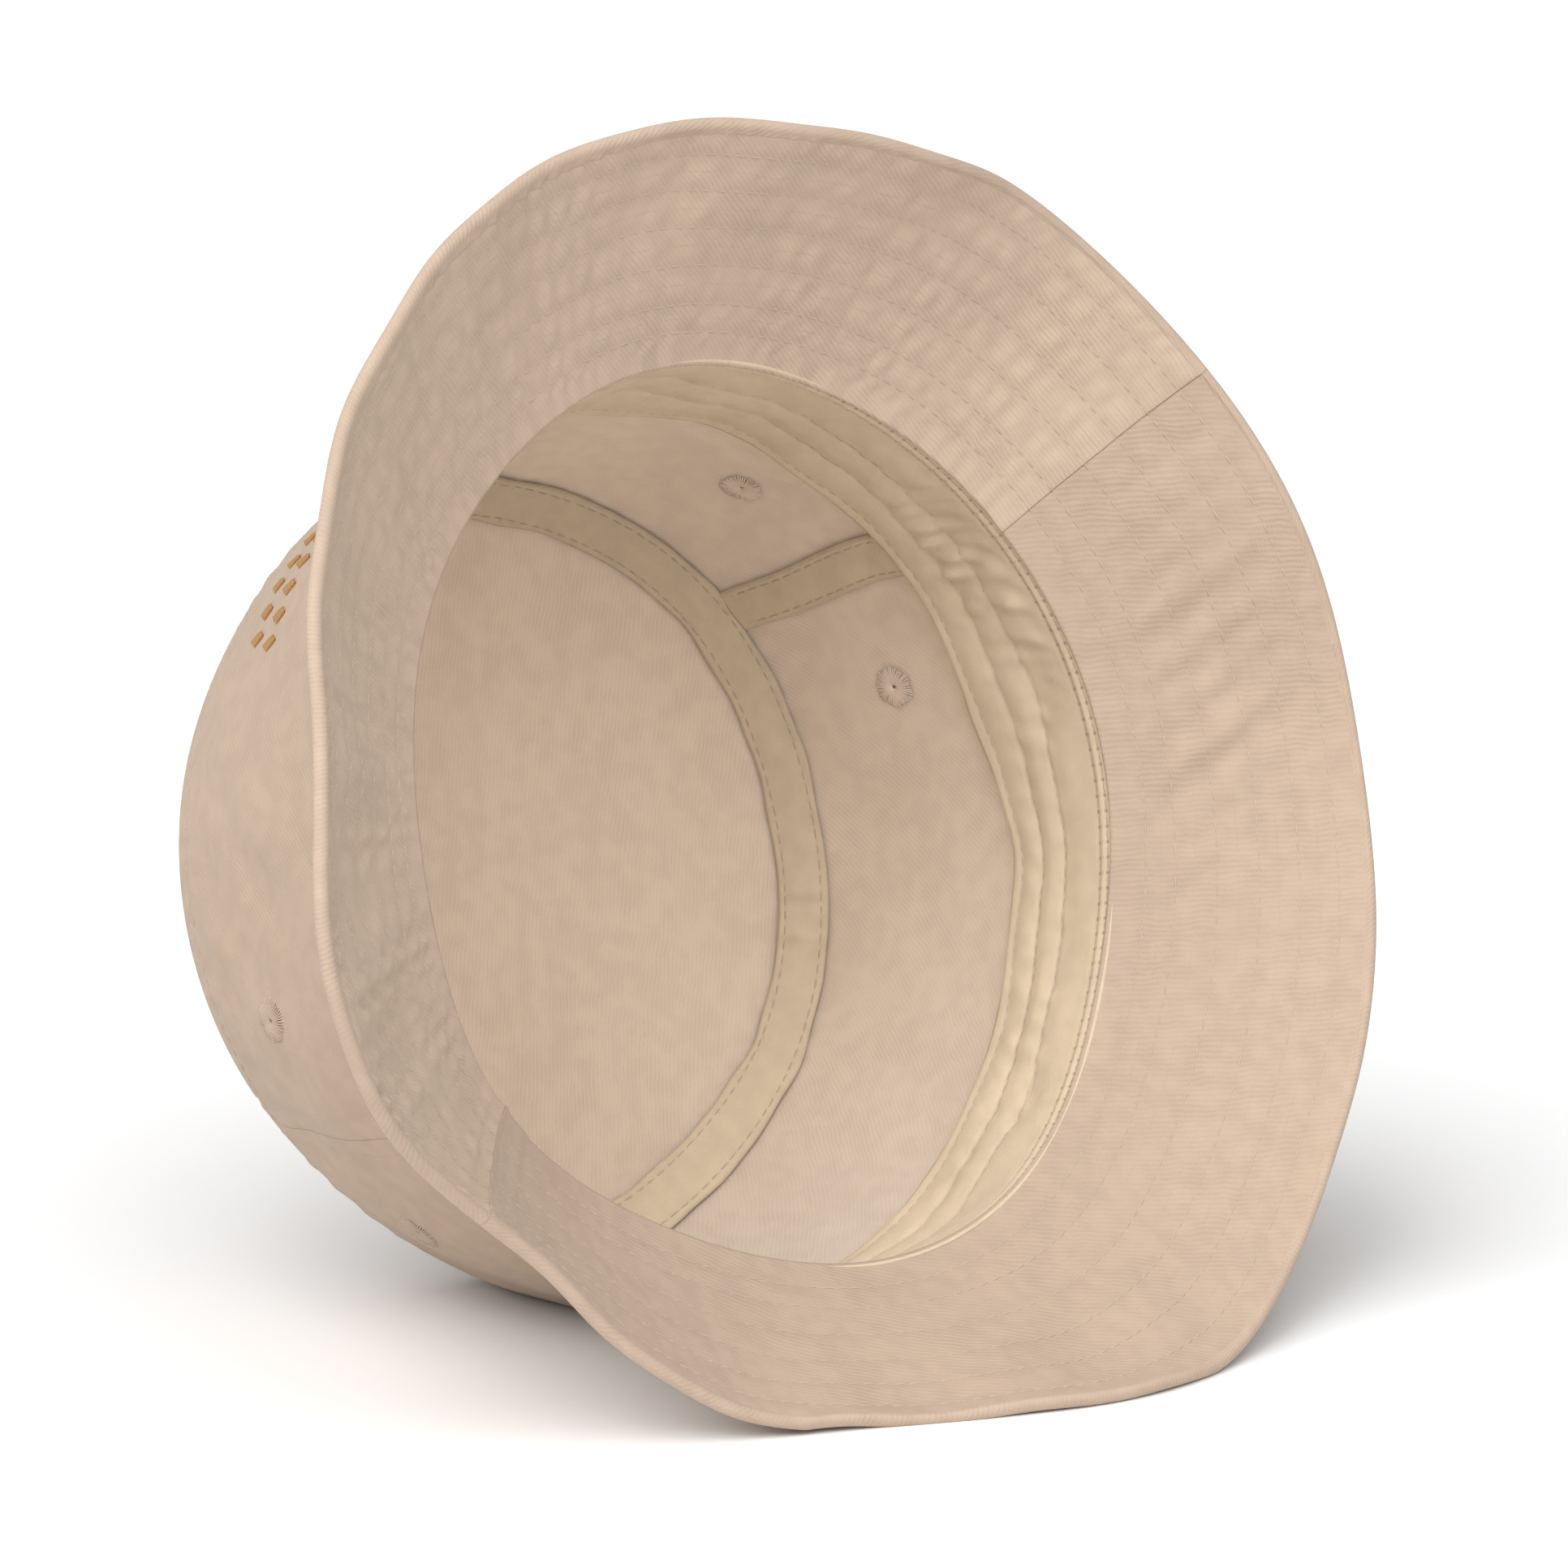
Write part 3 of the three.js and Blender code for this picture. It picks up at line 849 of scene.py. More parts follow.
def thread_material(name, tint, gloss=0.7, twist=2200.0):
    """Twisted sewing thread."""
    known = bpy.data.materials.get(name)
    if known is not None:
        return known
    material, shader, nodes = start_material(name, gloss, 0.1)
    flat = nodes.add("ShaderNodeUVMap", uv_map="cloth").outputs[0]
    split = nodes.add("ShaderNodeSeparateXYZ")
    nodes.feed(split.inputs[0], flat)
    turns = nodes.math("MULTIPLY_ADD", split.outputs[0], twist, split.outputs[1])
    strand = nodes.math("SINE", nodes.math("MULTIPLY", turns, FULL))
    place = nodes.add("ShaderNodeTexCoord").outputs["Object"]
    washed = nodes.group(washed_look(), Vector=place, Clouds=90.0)
    base = nodes.mix(nodes.between(strand, -1.0, 1.0), shade(tint, 0.86), shade(tint, 1.06))
    base = nodes.mix(nodes.math("MULTIPLY", washed["Tone"], 0.2), base, shade(tint, 0.8))
    nodes.feed(shader.inputs["Base Color"], base)
    lift = nodes.add("ShaderNodeBump")
    lift.inputs["Strength"].default_value = 0.5
    lift.inputs["Distance"].default_value = 0.08 * MM
    nodes.feed(lift.inputs["Height"], strand)
    nodes.feed(shader.inputs["Normal"], lift.outputs[0])
    return material


def settings():
    """The hat's sizes, stitches, colours and stage."""
    scene = bpy.context.scene
    return scene.hat_sizes, scene.hat_stitches, scene.hat_colours, scene.hat_stage


def hat_materials():
    """The finishes of the hat, each made once."""
    colours = settings()[2]
    pitch = colours.twill_pitch
    tape_pitch = 0.55 * MM
    return {
        "twill": cloth_material("Twill", colours.twill, pitch, 0.9),
        "crown": cloth_material("Crown twill", colours.crown, pitch, 0.9),
        "inside": cloth_material(
            "Twill inside", colours.inside, pitch, -0.9, bump=0.2, light_through=1.0
        ),
        # The front panel's paler colour is painted light for the shaded upper part of the underside.
        "under_front": cloth_material(
            "Under brim front, painted light", colours.front_panel_painted_light, pitch, 0.65, bump=0.55, spots=0.5
        ),
        "under_back": cloth_material(
            "Under brim back", colours.underbrim, pitch * 1.23, -1.5, bump=0.4, spots=0.2
        ),
        "tape": cloth_material("Tape", colours.tape, tape_pitch, bump=0.25, holes=0.15),
        "band": cloth_material("Sweatband", colours.band, tape_pitch, bump=0.25, holes=0.75),
        "eyelet": thread_material("Eyelet thread", colours.eyelet),
        # Painted light: a paler copy of the eyelet thread for the inside.
        "eyelet_inside": thread_material("Eyelet thread inside, painted light", colours.eyelet_inside),
        "thread": thread_material("Thread", colours.thread),
        "band_thread": thread_material("Band thread", colours.band_thread),
        "needlework": thread_material("Needlework", colours.needlework, 0.45, 1500.0),
    }


# ---- The faces of each piece ----------------------------------------------------------------


def brim_rows_relief(hat, stitches, a, s):
    """Stitched channels of the brim: rows pulled in, cloth puckered and puffed between them."""
    width = hat.brim_width(a)
    q = s * width
    relief = 0.0 * q
    shared = puckers(stitches.seed + 9, a, 0.0, 0.12, 0.0042, 0.0066, 0.0)
    bounds = [0.0, *BRIM_ROWS, 1.0]
    for i, (low, high) in enumerate(zip(bounds, bounds[1:])):
        t = np.clip((s - low) / (high - low), 0, 1)
        inside = (s >= low) & (s < high)
        swell = np.sin(np.pi * t) ** 2
        radius = hat.size.half_width + 0.8 * hat.size.brim_width * (low + high) / 2
        outermost = high == bounds[-1]
        short, long = (0.0036, 0.0052) if outermost else (0.005, 0.010)
        amount = 0.26 if outermost else 0.24
        amount = amount * (0.18 + 0.82 * around_seam(a, 110, 65)) + 0.30 * around_seam(a, 28, 24)
        fold = 0.5 * puckers(stitches.seed + i, a, q, radius, short, long, 0.35)
        fold = fold + 0.7 * (fold if outermost else shared)
        relief = relief + np.where(inside, swell * (0.06 + amount * fold), 0) * MM
    for row in BRIM_ROWS:
        relief = relief - stitches.groove * np.exp(-(((s - row) * width / (0.6 * MM)) ** 2))
    return relief


def brim_folds(hat, a, s):
    """Broad soft folds of the whole brim, none at its seam with the crown."""
    q = s * hat.size.brim_width
    broad = puckers(31, a, q, 0.12, 0.03, 0.08, 0.9, 6)
    folds = 0.35 * MM * broad * ease(s, 0.15, 0.6)
    inner = ease(s, 0.15, 0.5) * (1 - ease(s, 0.75, 1.0))
    for middle, height in ((12, 1.1), (19, -1.1), (26, 1.3), (34, -0.9), (43, 0.7)):
        folds = folds + height * MM * around_seam(a, middle, 2.4) * inner
    across = hat.brim_top(a, s) @ np.array(FOLD_WAY)
    slanting = np.sin(across / (1.5 * MM)) + 0.7 * np.sin(across / (2.4 * MM) + 1.0)
    slanting = slanting * (0.6 + 0.4 * np.sin(q / (9 * MM) + 5 * a))
    place = around_seam(a, 212, 26) * ease(s, 0.05, 0.3) * (1 - ease(s, 0.7, 1.0))
    return folds + 0.42 * MM * slanting * place


def arc_length(hat, a):
    """Distance round the head opening."""
    return a * (hat.size.half_width + hat.size.half_length) / 2


def brim_flat(hat, a, q):
    """Cloth coordinates of the brim: its cone laid flat."""
    radius = hat.size.half_width / math.cos(40 * DEGREE)
    turn = arc_length(hat, a) / radius
    return pairs((radius + q) * np.cos(turn), (radius + q) * np.sin(turn))


def row_flat(along, across, rows):
    """Distance along and from the nearest stitch row."""
    away = across[..., None] - np.asarray(rows)
    nearest = np.take_along_axis(away, np.abs(away).argmin(-1)[..., None], -1)[..., 0]
    return pairs(along, nearest)


def half_round(start, count):
    """Angles over one half of the hat, closer together at its two seams."""
    even = np.linspace(0, np.pi, count)
    even[0] = SEAM_GAP
    even[-1] = np.pi - SEAM_GAP
    close = np.array([1.6, 3.2, 5.0, 8.0]) * SEAM_GAP
    return start + np.unique(np.concatenate([even, close, np.pi - close]))


def seam_dip(a):
    """How far the cloth dips where two halves meet at a side seam, as a quarter round."""
    near = 1 - np.clip(np.abs(np.sin(a)) / DIP_REACH, 0, 1)
    return DIP_DEPTH * (1 - np.sqrt(np.clip(1 - near**2, 0, 1)))


def make_under_brim(hat, stitches, materials, half, start):
    """The brim's under ply, tucked in at the head opening and lapped by the turned edge."""
    size = hat.size
    a = half_round(start, 361)[:, None]
    face_depth = 2 * size.cloth + size.ply_gap
    width = hat.brim_width(a)
    reach = 1 - (rim_width(a) - 0.8 * MM) / width
    tuck = -3.4 * MM / width
    t = np.concatenate([np.linspace(0, 0.93, 78), 1 - 0.07 * np.linspace(1, 0, 12)[1:] ** 1.3])
    s = tuck + (reach - tuck) * t[None]
    depth = face_depth + under_relief(hat, stitches, a, s)
    depth = depth - 0.4 * MM * ease((reach - s) * width, 0.0007, 0.0)
    back_s = tuck + (reach - tuck) * np.linspace(1, 0, 10)[None]
    back = np.full_like(back_s, size.cloth + size.ply_gap + 0.05 * MM)
    all_s = np.concatenate([s, back_s], axis=1)
    all_depth = np.concatenate([depth, back], axis=1)
    dip = seam_dip(a) * (np.cos(a) < 0)
    all_depth = np.maximum(all_depth - dip * (all_depth > back.max() + 1e-6), back.max())
    points = hat.brim(a, all_s, all_depth)
    q = all_s * width
    layers = {
        "cloth": brim_flat(hat, a + 0 * q, q),
        "rows": row_flat(arc_length(hat, a) + 0 * q, all_s, BRIM_ROWS) * [1, size.brim_width],
    }
    piece = sweep("brim_under_cloth_" + half, points, layers, materials["under_" + half])
    finish_piece(piece, "underbrim", "brim_under_" + half)


def rim_width(a):
    """Width of the turned edge that shows under the brim."""
    return (2.3 + 2.0 * around_seam(a, 70, 50)) * MM


def under_relief(hat, stitches, a, s):
    """Relief of the brim's underside, outwards from the plain ply."""
    relief = brim_rows_relief(hat, stitches, a, s) + brim_folds(hat, a, s)
    front = np.sin(a) > 0
    seam_q = np.abs(np.sin(a)) * (hat.size.half_width + 0.7 * s * hat.size.brim_width)
    beside = np.where(np.cos(a) < 0, front, ~front)
    relief = relief + 0.28 * MM * (1 - ease(seam_q, 0.008, 0.0095)) * beside
    ridge = np.exp(-((seam_q / (1.7 * MM)) ** 2)) * (np.cos(a) > 0)
    trough = np.exp(-((((1 - s) * hat.brim_width(a) - rim_width(a) - 0.4 * MM) / (0.5 * MM)) ** 2))
    return relief + 0.5 * MM * ridge - 0.45 * MM * trough * around_seam(a, 5, 32)


def under_face(hat, stitches):
    def face(a, s, lift):
        depth = 2 * hat.size.cloth + hat.size.ply_gap + under_relief(hat, stitches, a, s)
        return hat.brim(a, s, depth + lift)

    return face


def upper_face(hat, stitches):
    def face(a, s, lift):
        relief = brim_rows_relief(hat, stitches, a, s) - brim_folds(hat, a, s)
        return hat.brim(a, s, -relief - lift)

    return face


def make_upper_brim(hat, stitches, materials, half, start):
    """The brim's upper ply, which turns round the edge and laps over the under ply."""
    size = hat.size
    a = half_round(start, 361)[:, None]
    width = hat.brim_width(a)
    face_depth = 2 * size.cloth + size.ply_gap
    radius = (face_depth + 0.25 * MM) / 2
    edge = 1 - radius / width
    # The outer face.
    s = np.linspace(0, 1, 56)[None] * edge
    depth = -(brim_rows_relief(hat, stitches, a, s) - brim_folds(hat, a, s))
    # The turn round the edge.
    edge_wave = brim_folds(hat, a, 1.0 + 0 * a)
    turn = np.linspace(-90, 90, 15)[None, 1:] * DEGREE
    roll_s = edge + radius / width * np.cos(turn)
    roll_depth = radius * (1 + np.sin(turn)) + edge_wave + 0 * edge
    # The lap over the under ply.
    rim = rim_width(a)
    under = np.array([0.2, 0.4, 0.6, 0.75, 0.87, 0.95, 1.0])[None]
    step = np.array([0.25, 0.25, 0.24, 0.2, 0.12, 0.0, -0.2])[None] * MM
    step = step * (0.12 + 0.88 * around_seam(a, 60, 75))
    under_s = edge - (rim - radius) / width * under
    lapped = face_depth + under_relief(hat, stitches, a, under_s) + step
    under_depth = lapped + (2 * radius + edge_wave - lapped) * (1 - ease(under, 0, 0.6))
    # The way back between the two plies.
    last_s = under_s[:, -1:]
    back_s = np.concatenate([last_s, last_s * np.linspace(1, 0, 9)[None]], axis=1)
    back_depth = np.full_like(back_s, size.cloth)
    back_depth[:, 0] = size.cloth + size.ply_gap
    all_s = np.concatenate([s, roll_s, under_s, back_s], axis=1)
    all_depth = np.concatenate([depth, roll_depth, under_depth, back_depth], axis=1)
    dip = seam_dip(a)
    outer = np.zeros(all_s.shape[1], bool)
    outer[: s.shape[1]] = True
    all_depth = all_depth + np.where(outer[None], dip, 0)
    points = hat.brim(a, all_s, all_depth)
    steps = np.hypot(np.diff(all_s * width, axis=1), np.diff(all_depth, axis=1))
    q = np.concatenate([0 * a, np.cumsum(steps, axis=1)], axis=1)
    along = arc_length(hat, a) + 0 * q
    layers = {
        "cloth": brim_flat(hat, a + 0 * q, q),
        "rows": row_flat(along, q / size.brim_width, BRIM_ROWS) * [1, size.brim_width],
    }
    piece = sweep("brim_upper_cloth_" + half, points, layers, materials["twill"])
    finish_piece(piece, "twill", "brim_upper_" + half)


def finish_piece(piece, slot, *nodes):
    """Rides a piece on the hat and hides the imported parts that it stands for. The slot is not used."""
    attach(piece, "root")
    if nodes:
        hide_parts(*nodes)


def line_inside(piece, hat, material):
    """Gives the faces turned to the middle of the head the inner finish."""
    mesh = piece.data
    mesh.materials.append(material)
    centres = np.empty(3 * len(mesh.polygons))
    normals = np.empty(3 * len(mesh.polygons))
    mesh.polygons.foreach_get("center", centres)
    mesh.polygons.foreach_get("normal", normals)
    middle = hat.basis @ hat.head_centre + hat.origin
    inwards = ((middle - centres.reshape(-1, 3)) * normals.reshape(-1, 3)).sum(axis=1) > 0
    mesh.polygons.foreach_set("material_index", inwards.astype(np.int32))


def eyelet_angles(size):
    offset = size.eyelet_from_seam / size.half_width
    return {
        "front_right": offset,
        "front_left": math.pi - offset,
        "back_right": FULL - offset,
        "back_left": math.pi + offset,
    }


def crown_face(hat):
    """Outer face of the crown side: its stitch rows, seams and turned edge."""
    size = hat.size

    def face(a, s, lift):
        relief = 0.0
        for row in crown_rows(size):
            away = (s - row) * size.crown_height
            relief = relief - CROWN_GROOVE * np.exp(-((away / (0.8 * MM)) ** 2))
        edge = ease(1 - s, 0.006 / size.crown_height, 0.0) * 0.5 * MM
        seam = np.abs(np.sin(a)) * size.half_width
        relief = relief - 0.25 * MM * np.exp(-(((seam - SEAM_ROW) / (0.8 * MM)) ** 2))
        pull = puckers(41, a, s * size.crown_height, 0.085, 0.004, 0.009, 0.3)
        at_top = ease(s, 0.90, 0.95) * (1 - ease(s, 0.985, 1.0))
        at_brim = 1 - ease(s, 0.02, 0.07)
        pull = pull * (at_top + 0.6 * at_brim)
        return hat.side(a, s, edge - relief - 0.13 * MM * pull - lift)

    return face


def crown_rows(size):
    """Stitch rows round the crown side, as shares of its height."""
    return (2.2 * MM / size.crown_height, 1 - size.tape_width / 2 / size.crown_height)


def make_crown_side(hat, materials, half, start):
    size = hat.size
    a = half_round(start, 321)[:, None]
    s = np.concatenate([np.linspace(0.003, 0.93, 50), np.linspace(0.94, 1.0, 11)])[None]
    outside = crown_face(hat)(a, s, -seam_dip(a))
    inside = hat.side(a, s, size.cloth + 0 * a)
    points = np.concatenate([outside, inside[:, ::-1]], axis=1)
    rows = np.concatenate([s, s[:, ::-1]], axis=1)
    v = rows * size.crown_height
    around = arc_length(hat, a) + 0 * v
    layers = {
        "cloth": pairs(around, v),
        "rows": row_flat(around, rows, crown_rows(size)) * [1, size.crown_height],
    }
    # The cloth is cut out under each eyelet, square by square.
    middle = (a[:-1] + a[1:]) / 2
    centre = (s[:, :-1] + s[:, 1:]) / 2
    holes = np.zeros((len(middle), centre.shape[1]), bool)
    for name, angle in eyelet_angles(size).items():
        if not name.startswith(half):
            continue
        across = (middle - angle) * 0.9 * size.half_width
        up = (centre - size.eyelet_height / size.crown_height) * size.crown_height
        holes |= np.hypot(across, up) < 0.5 * size.eyelet_thread
    piece = sweep("crown_cloth_" + half, points, layers, materials["crown"], holes=holes)
    line_inside(piece, hat, materials["inside"])
    finish_piece(piece, "twill", "crown_" + half)


def make_crown_top(hat, materials):
    size = hat.size
    a = np.linspace(0, FULL, 481)[:, None]
    s = np.concatenate([np.linspace(0, 0.90, 24), np.linspace(0.91, 1.0, 12)])[None]
    row = 1 - size.tape_width / 2 / size.top_half_width
    groove = CROWN_GROOVE * np.exp(-(((s - row) * size.top_half_width / (0.8 * MM)) ** 2))
    pull = puckers(43, a, s * size.top_half_width, 0.075, 0.004, 0.009, 0.3) * ease(s, 0.90, 0.94)
    edge = ease(1 - s, 0.02, 0.0) * 0.4 * MM
    outside = hat.top(a, s, groove + edge + 0.12 * MM * pull)
    inside = hat.top(a, s[:, ::-1], size.cloth + 0 * a)
    points = np.concatenate([outside, inside], axis=1)
    both = np.concatenate([s, s[:, ::-1]], axis=1)
    r = both * size.top_half_width
    layers = {
        "cloth": pairs(r * np.cos(a), r * np.sin(a)),
        "rows": row_flat(a * size.top_half_width + 0 * r, both, (row,)) * [1, size.top_half_width],
    }
    piece = sweep(
        "crown_top_cloth", points, layers, materials["crown"], ring=True, loop=False, weld=True
    )
    line_inside(piece, hat, materials["inside"])
    finish_piece(piece, "twill", "crown_top")


# ---- Sweatband and tapes --------------------------------------------------------------------


def band_top(a):
    """Height of the sweatband's free edge, with the two small steps where it is creased."""
    height = through(BAND_HEIGHT, a)
    height = height - 1.8 * around_seam(a, 222, 6) + 0.8 * around_seam(a, 205, 5)
    return height * MM


def band_relief(a, h):
    """Relief of the sweatband's visible face at a height h above the brim seam."""
    relief = 0.0 * h
    depth = (0.25, 0.35, 0.45, 0.55, 0.3)
    for row, pull in zip(BAND_ROWS, depth):
        at = band_row(a, row)
        relief = relief - pull * MM * np.exp(-(((h - at) / (0.5 * MM)) ** 2))
    for low, high, swell in zip(BAND_ROWS[1:], BAND_ROWS[2:], (0.3, 0.5, 0.3)):
        t = np.clip((h - band_row(a, low)) / (band_row(a, high) - band_row(a, low)), 0, 1)
        relief = relief + swell * MM * np.sin(np.pi * t) ** 2
    short = puckers(51, a, h, 0.09, 0.005, 0.012, 0.5)
    near_rows = sum(np.exp(-(((h - row * MM) / (3 * MM)) ** 2)) for row in BAND_ROWS[2:4])
    relief = relief + 0.14 * MM * short * near_rows
    crumple = puckers(53, a, h, 0.09, 0.004, 0.009, 0.35)
    place = around_seam(a, 184, 12) * ease(h, 0.004, 0.009) * (1 - ease(h, 0.022, 0.03))
    relief = relief + 0.5 * MM * crumple * place
    soft = puckers(57, a, h, 0.09, 0.02, 0.05, 0.8)
    return relief + 0.3 * MM * soft * ease(h, 0.004, 0.012)


def band_row(a, row):
    """Where a row of the sweatband runs: the upper rows follow its free edge."""
    share = (row / BAND_ROWS[-1]) ** 2
    return row * MM + (band_top(a) - BAND_WIDTH) * share


def band_hang(a, h):
    """How far the sweatband stands off the crown at a height."""
    t = np.clip(h / BAND_WIDTH, 0, 1.2)
    wave = 0.6 + 0.4 * puckers(59, a, 0.0, 0.09, 0.05, 0.12, 0.0, 4)
    return through(BAND_HANG, a) * MM * t**2 * np.maximum(wave, 0.1)


def lower_roll(h):
    """Soft ridge between the two lowest rows of the sweatband."""
    return 0.35 * MM * np.exp(-(((h - 1.75 * MM) / (1.0 * MM)) ** 2))


def band_behind(size):
    """Depth of the sweatband's back where it doesn't hang: past the cloth and the side tapes."""
    return size.cloth + size.curved_gap + size.tape + size.ply_gap


def band_depth(size, a, h):
    """Depth of the sweatband's visible face."""
    return band_behind(size) + size.tape + band_relief(a, h) + band_hang(a, h) + lower_roll(h)


def band_face(hat):
    size = hat.size

    def face(a, h, lift):
        return hat.side(a, h / size.crown_height, band_depth(size, a, h) + lift)

    return face


def make_sweatband(hat, materials):
    size = hat.size
    behind = band_behind(size)
    a = np.linspace(0, FULL, 901)[:, None]
    top = band_top(a)
    below = size.band_below + 0.2 * MM
    t = np.concatenate([np.linspace(0, 0.12, 10), np.linspace(0.14, 1, 44)])[None]
    h = -below + (top + below) * t
    depth = band_depth(size, a, h)
    round_top = ease(top - h, 0.0008, 0.0)
    round_low = ease(h + below, 0.0009, 0.0)
    back_h = -below + (top + below) * np.linspace(1, 0, 12)[None]
    back = behind + band_hang(a, back_h)
    middle = behind + band_hang(a, h) + size.tape / 2
    depth = depth + (middle - depth) * np.maximum(round_top, round_low) * 0.9
    all_h = np.concatenate([h, back_h], axis=1)
    all_depth = np.concatenate([depth, back], axis=1)
    points = hat.side(a, all_h / size.crown_height, all_depth)
    around = arc_length(hat, a) + 0 * all_h
    # Only the two rows at the brim seam show their needle holes, whose painted shade darkens the band's
    # lower edge.
    seam_rows = np.stack([band_row(a, row) + 0 * all_h for row in BAND_ROWS[:2]], axis=-1)
    layers = {
        "cloth": pairs(around, all_h),
        "rows": row_flat(around, all_h, seam_rows),
    }
    piece = sweep("sweatband_cloth", points, layers, materials["band"], ring=True)
    finish_piece(piece, "tape", "sweatband")


def tape_relief(a, w, width, seed):
    """Relief across a seam tape: pulled in at its two rows, wrinkled and puffed between them."""
    low, high = TAPE_ROWS
    t = np.clip((w - low) / (high - low), 0, 1)
    relief = 0.3 * MM * np.sin(np.pi * t) ** 2
    for at in TAPE_ROWS:
        relief = relief - 0.12 * MM * np.exp(-(((w - at) * width / (0.6 * MM)) ** 2))
    fold = puckers(seed, a, w * width, 0.08, 0.006, 0.016, 0.5)
    return relief + 0.16 * MM * fold * np.sin(np.pi * np.clip(w, 0, 1))


def seam_tape_face(hat):
    """Face of the top seam tape: lapped and creased where its ends join."""
    size = hat.size

    def face(a, w, lift):
        width = CORNER_WIDTH * size.tape_width
        relief = tape_relief(a, w, width, 61)
        join = (a - TAPE_JOIN) * size.top_half_width
        lap = 0.8 * MM * ease(join, -0.0012, 0.0) * (1 - ease(join, 0.0, 0.013))
        crease = 0.5 * MM * np.exp(-(((join + 0.004) / 0.0014) ** 2))
        crease = crease + 0.45 * MM * np.exp(-(((join - 0.006) / 0.0016) ** 2))
        return hat.corner(a, w, size.tape + relief + lap + crease + lift)

    return face


def make_seam_tape(hat, materials):
    size = hat.size
    a = np.linspace(0, FULL, 901)[:, None]
    w = np.concatenate([[0, 0.015, 0.04], np.linspace(0.07, 0.93, 17), [0.96, 0.985, 1.0]])[None]
    face = seam_tape_face(hat)
    waver = 0.25 * MM * puckers(63, a, 0.0, 0.08, 0.012, 0.04, 0.0)
    width = CORNER_WIDTH * size.tape_width
    shifted = w + waver / width
    curl = ease(np.minimum(w, 1 - w) * width, 0.0006, 0.0)
    front = face(a, shifted, -curl * 0.6 * MM)
    back = hat.corner(a, np.linspace(1, 0, 4)[None] + waver / width, 0.0 * MM)
    points = np.concatenate([front, back], axis=1)
    v = np.concatenate([w, np.linspace(1, 0, 4)[None]], axis=1) * width
    around = a * size.top_half_width + 0 * v
    layers = {
        "cloth": pairs(around, v),
        "rows": row_flat(around, v / width, TAPE_ROWS) * [1, width],
    }
    piece = sweep("top_seam_tape_cloth", points, layers, materials["tape"], ring=True)
    finish_piece(piece, "tape", "top_seam_tape")


def side_tape_face(hat, middle):
    """Face of a side seam tape: w across it, h the height above the brim seam."""
    size = hat.size
    behind = size.cloth + size.curved_gap

    def face(w, h, lift):
        sway = 0.5 * MM * np.sin(h / 0.007 + 2 * math.cos(middle)) * ease(h, 0.01, 0.03)
        a = middle + ((w - 0.5) * size.tape_width + sway) / size.half_width
        relief = tape_relief(h / 0.08, w, size.tape_width, 67)
        return hat.side(a, h / size.crown_height, behind + size.tape + relief + lift)

    return face


def side_tape_top(size):
    """Height where a side seam tape goes under the top seam tape."""
    return size.crown_height - size.tape_width / 2 - size.tape - size.ply_gap


def make_side_tape(hat, materials, side, middle):
    size = hat.size
    face = side_tape_face(hat, middle)
    h = np.linspace(8 * MM, side_tape_top(size), 150)[:, None]
    w = np.concatenate([[0, 0.02, 0.05], np.linspace(0.09, 0.91, 15), [0.95, 0.98, 1.0]])[None]
    curl = ease(np.minimum(w, 1 - w) * size.tape_width, 0.0006, 0.0)
    front = face(w + 0 * h, h + 0 * w, -curl * 0.6 * MM)
    back_w = np.linspace(1, 0, 4)[None]
    relief = tape_relief(h / 0.08, back_w, size.tape_width, 67)
    back = face(back_w + 0 * h, h + 0 * back_w, -size.tape - relief)
    points = np.concatenate([front, back], axis=1)
    v = np.concatenate([w, back_w], axis=1) * size.tape_width
    layers = {
        "cloth": pairs(h, v),
        "rows": row_flat(h + 0 * v, v / size.tape_width + 0 * h, TAPE_ROWS) * [1, size.tape_width],
    }
    piece = sweep("side_tape_cloth_" + side, points, layers, materials["tape"])
    finish_piece(piece, "tape", "side_tape_" + side)


# ---- Eyelets and needlework -----------------------------------------------------------------


def make_eyelet(hat, stitches, materials, name, angle):
    """An eyelet worked in thread: loops from the hole outwards on both faces of the cloth."""
    size = hat.size
    loops = 46
    draw = np.random.default_rng(stitches.seed + len(name) * 13 + int(angle * 100))
    turn = (np.arange(loops) + draw.uniform(-0.15, 0.15, loops)) * FULL / loops
    reach = size.eyelet_thread * draw.uniform(0.90, 1.04, loops)
    hole = size.eyelet_hole
    half = size.cloth / 2
    share = np.array([1.0, 0.86, 0.6, 0.35, 0.12])
    rise = np.array([-0.1, 0.1, 0.24, 0.28, 0.15]) * MM
    radial = hole + (reach[:, None] - hole) * share[None]
    inner = np.full((loops, 3), hole - 0.05 * MM)
    radii = np.concatenate([radial, inner, radial[:, ::-1]], axis=1)
    side = np.array([0.65, 0.0, -0.65]) * half
    heights = np.concatenate([half + rise, side, -half - rise[::-1]])
    a = angle + radii * np.cos(turn)[:, None] / size.half_width
    s = (size.eyelet_height + radii * np.sin(turn)[:, None]) / size.crown_height
    paths = hat.side(a, s, half - heights[None] + 0 * a)
    normals = unit(hat.side(a, s, half - heights[None] - 1e-4 + 0 * a) - paths)
    normals = unit(normals * 0.2 + np.cross(np.gradient(paths, axis=1), [0.3, 0.5, 0.8]))
    threads = Threads()
    threads.add(paths, normals, 0.2 * MM)
    piece = threads.build("eyelet_thread_" + name, materials["eyelet"])
    # The inner faces of the eyelet get the paler thread, which is painted light.
    line_inside(piece, hat, materials["eyelet_inside"])
    finish_piece(piece, "thread", "eyelet_" + name)


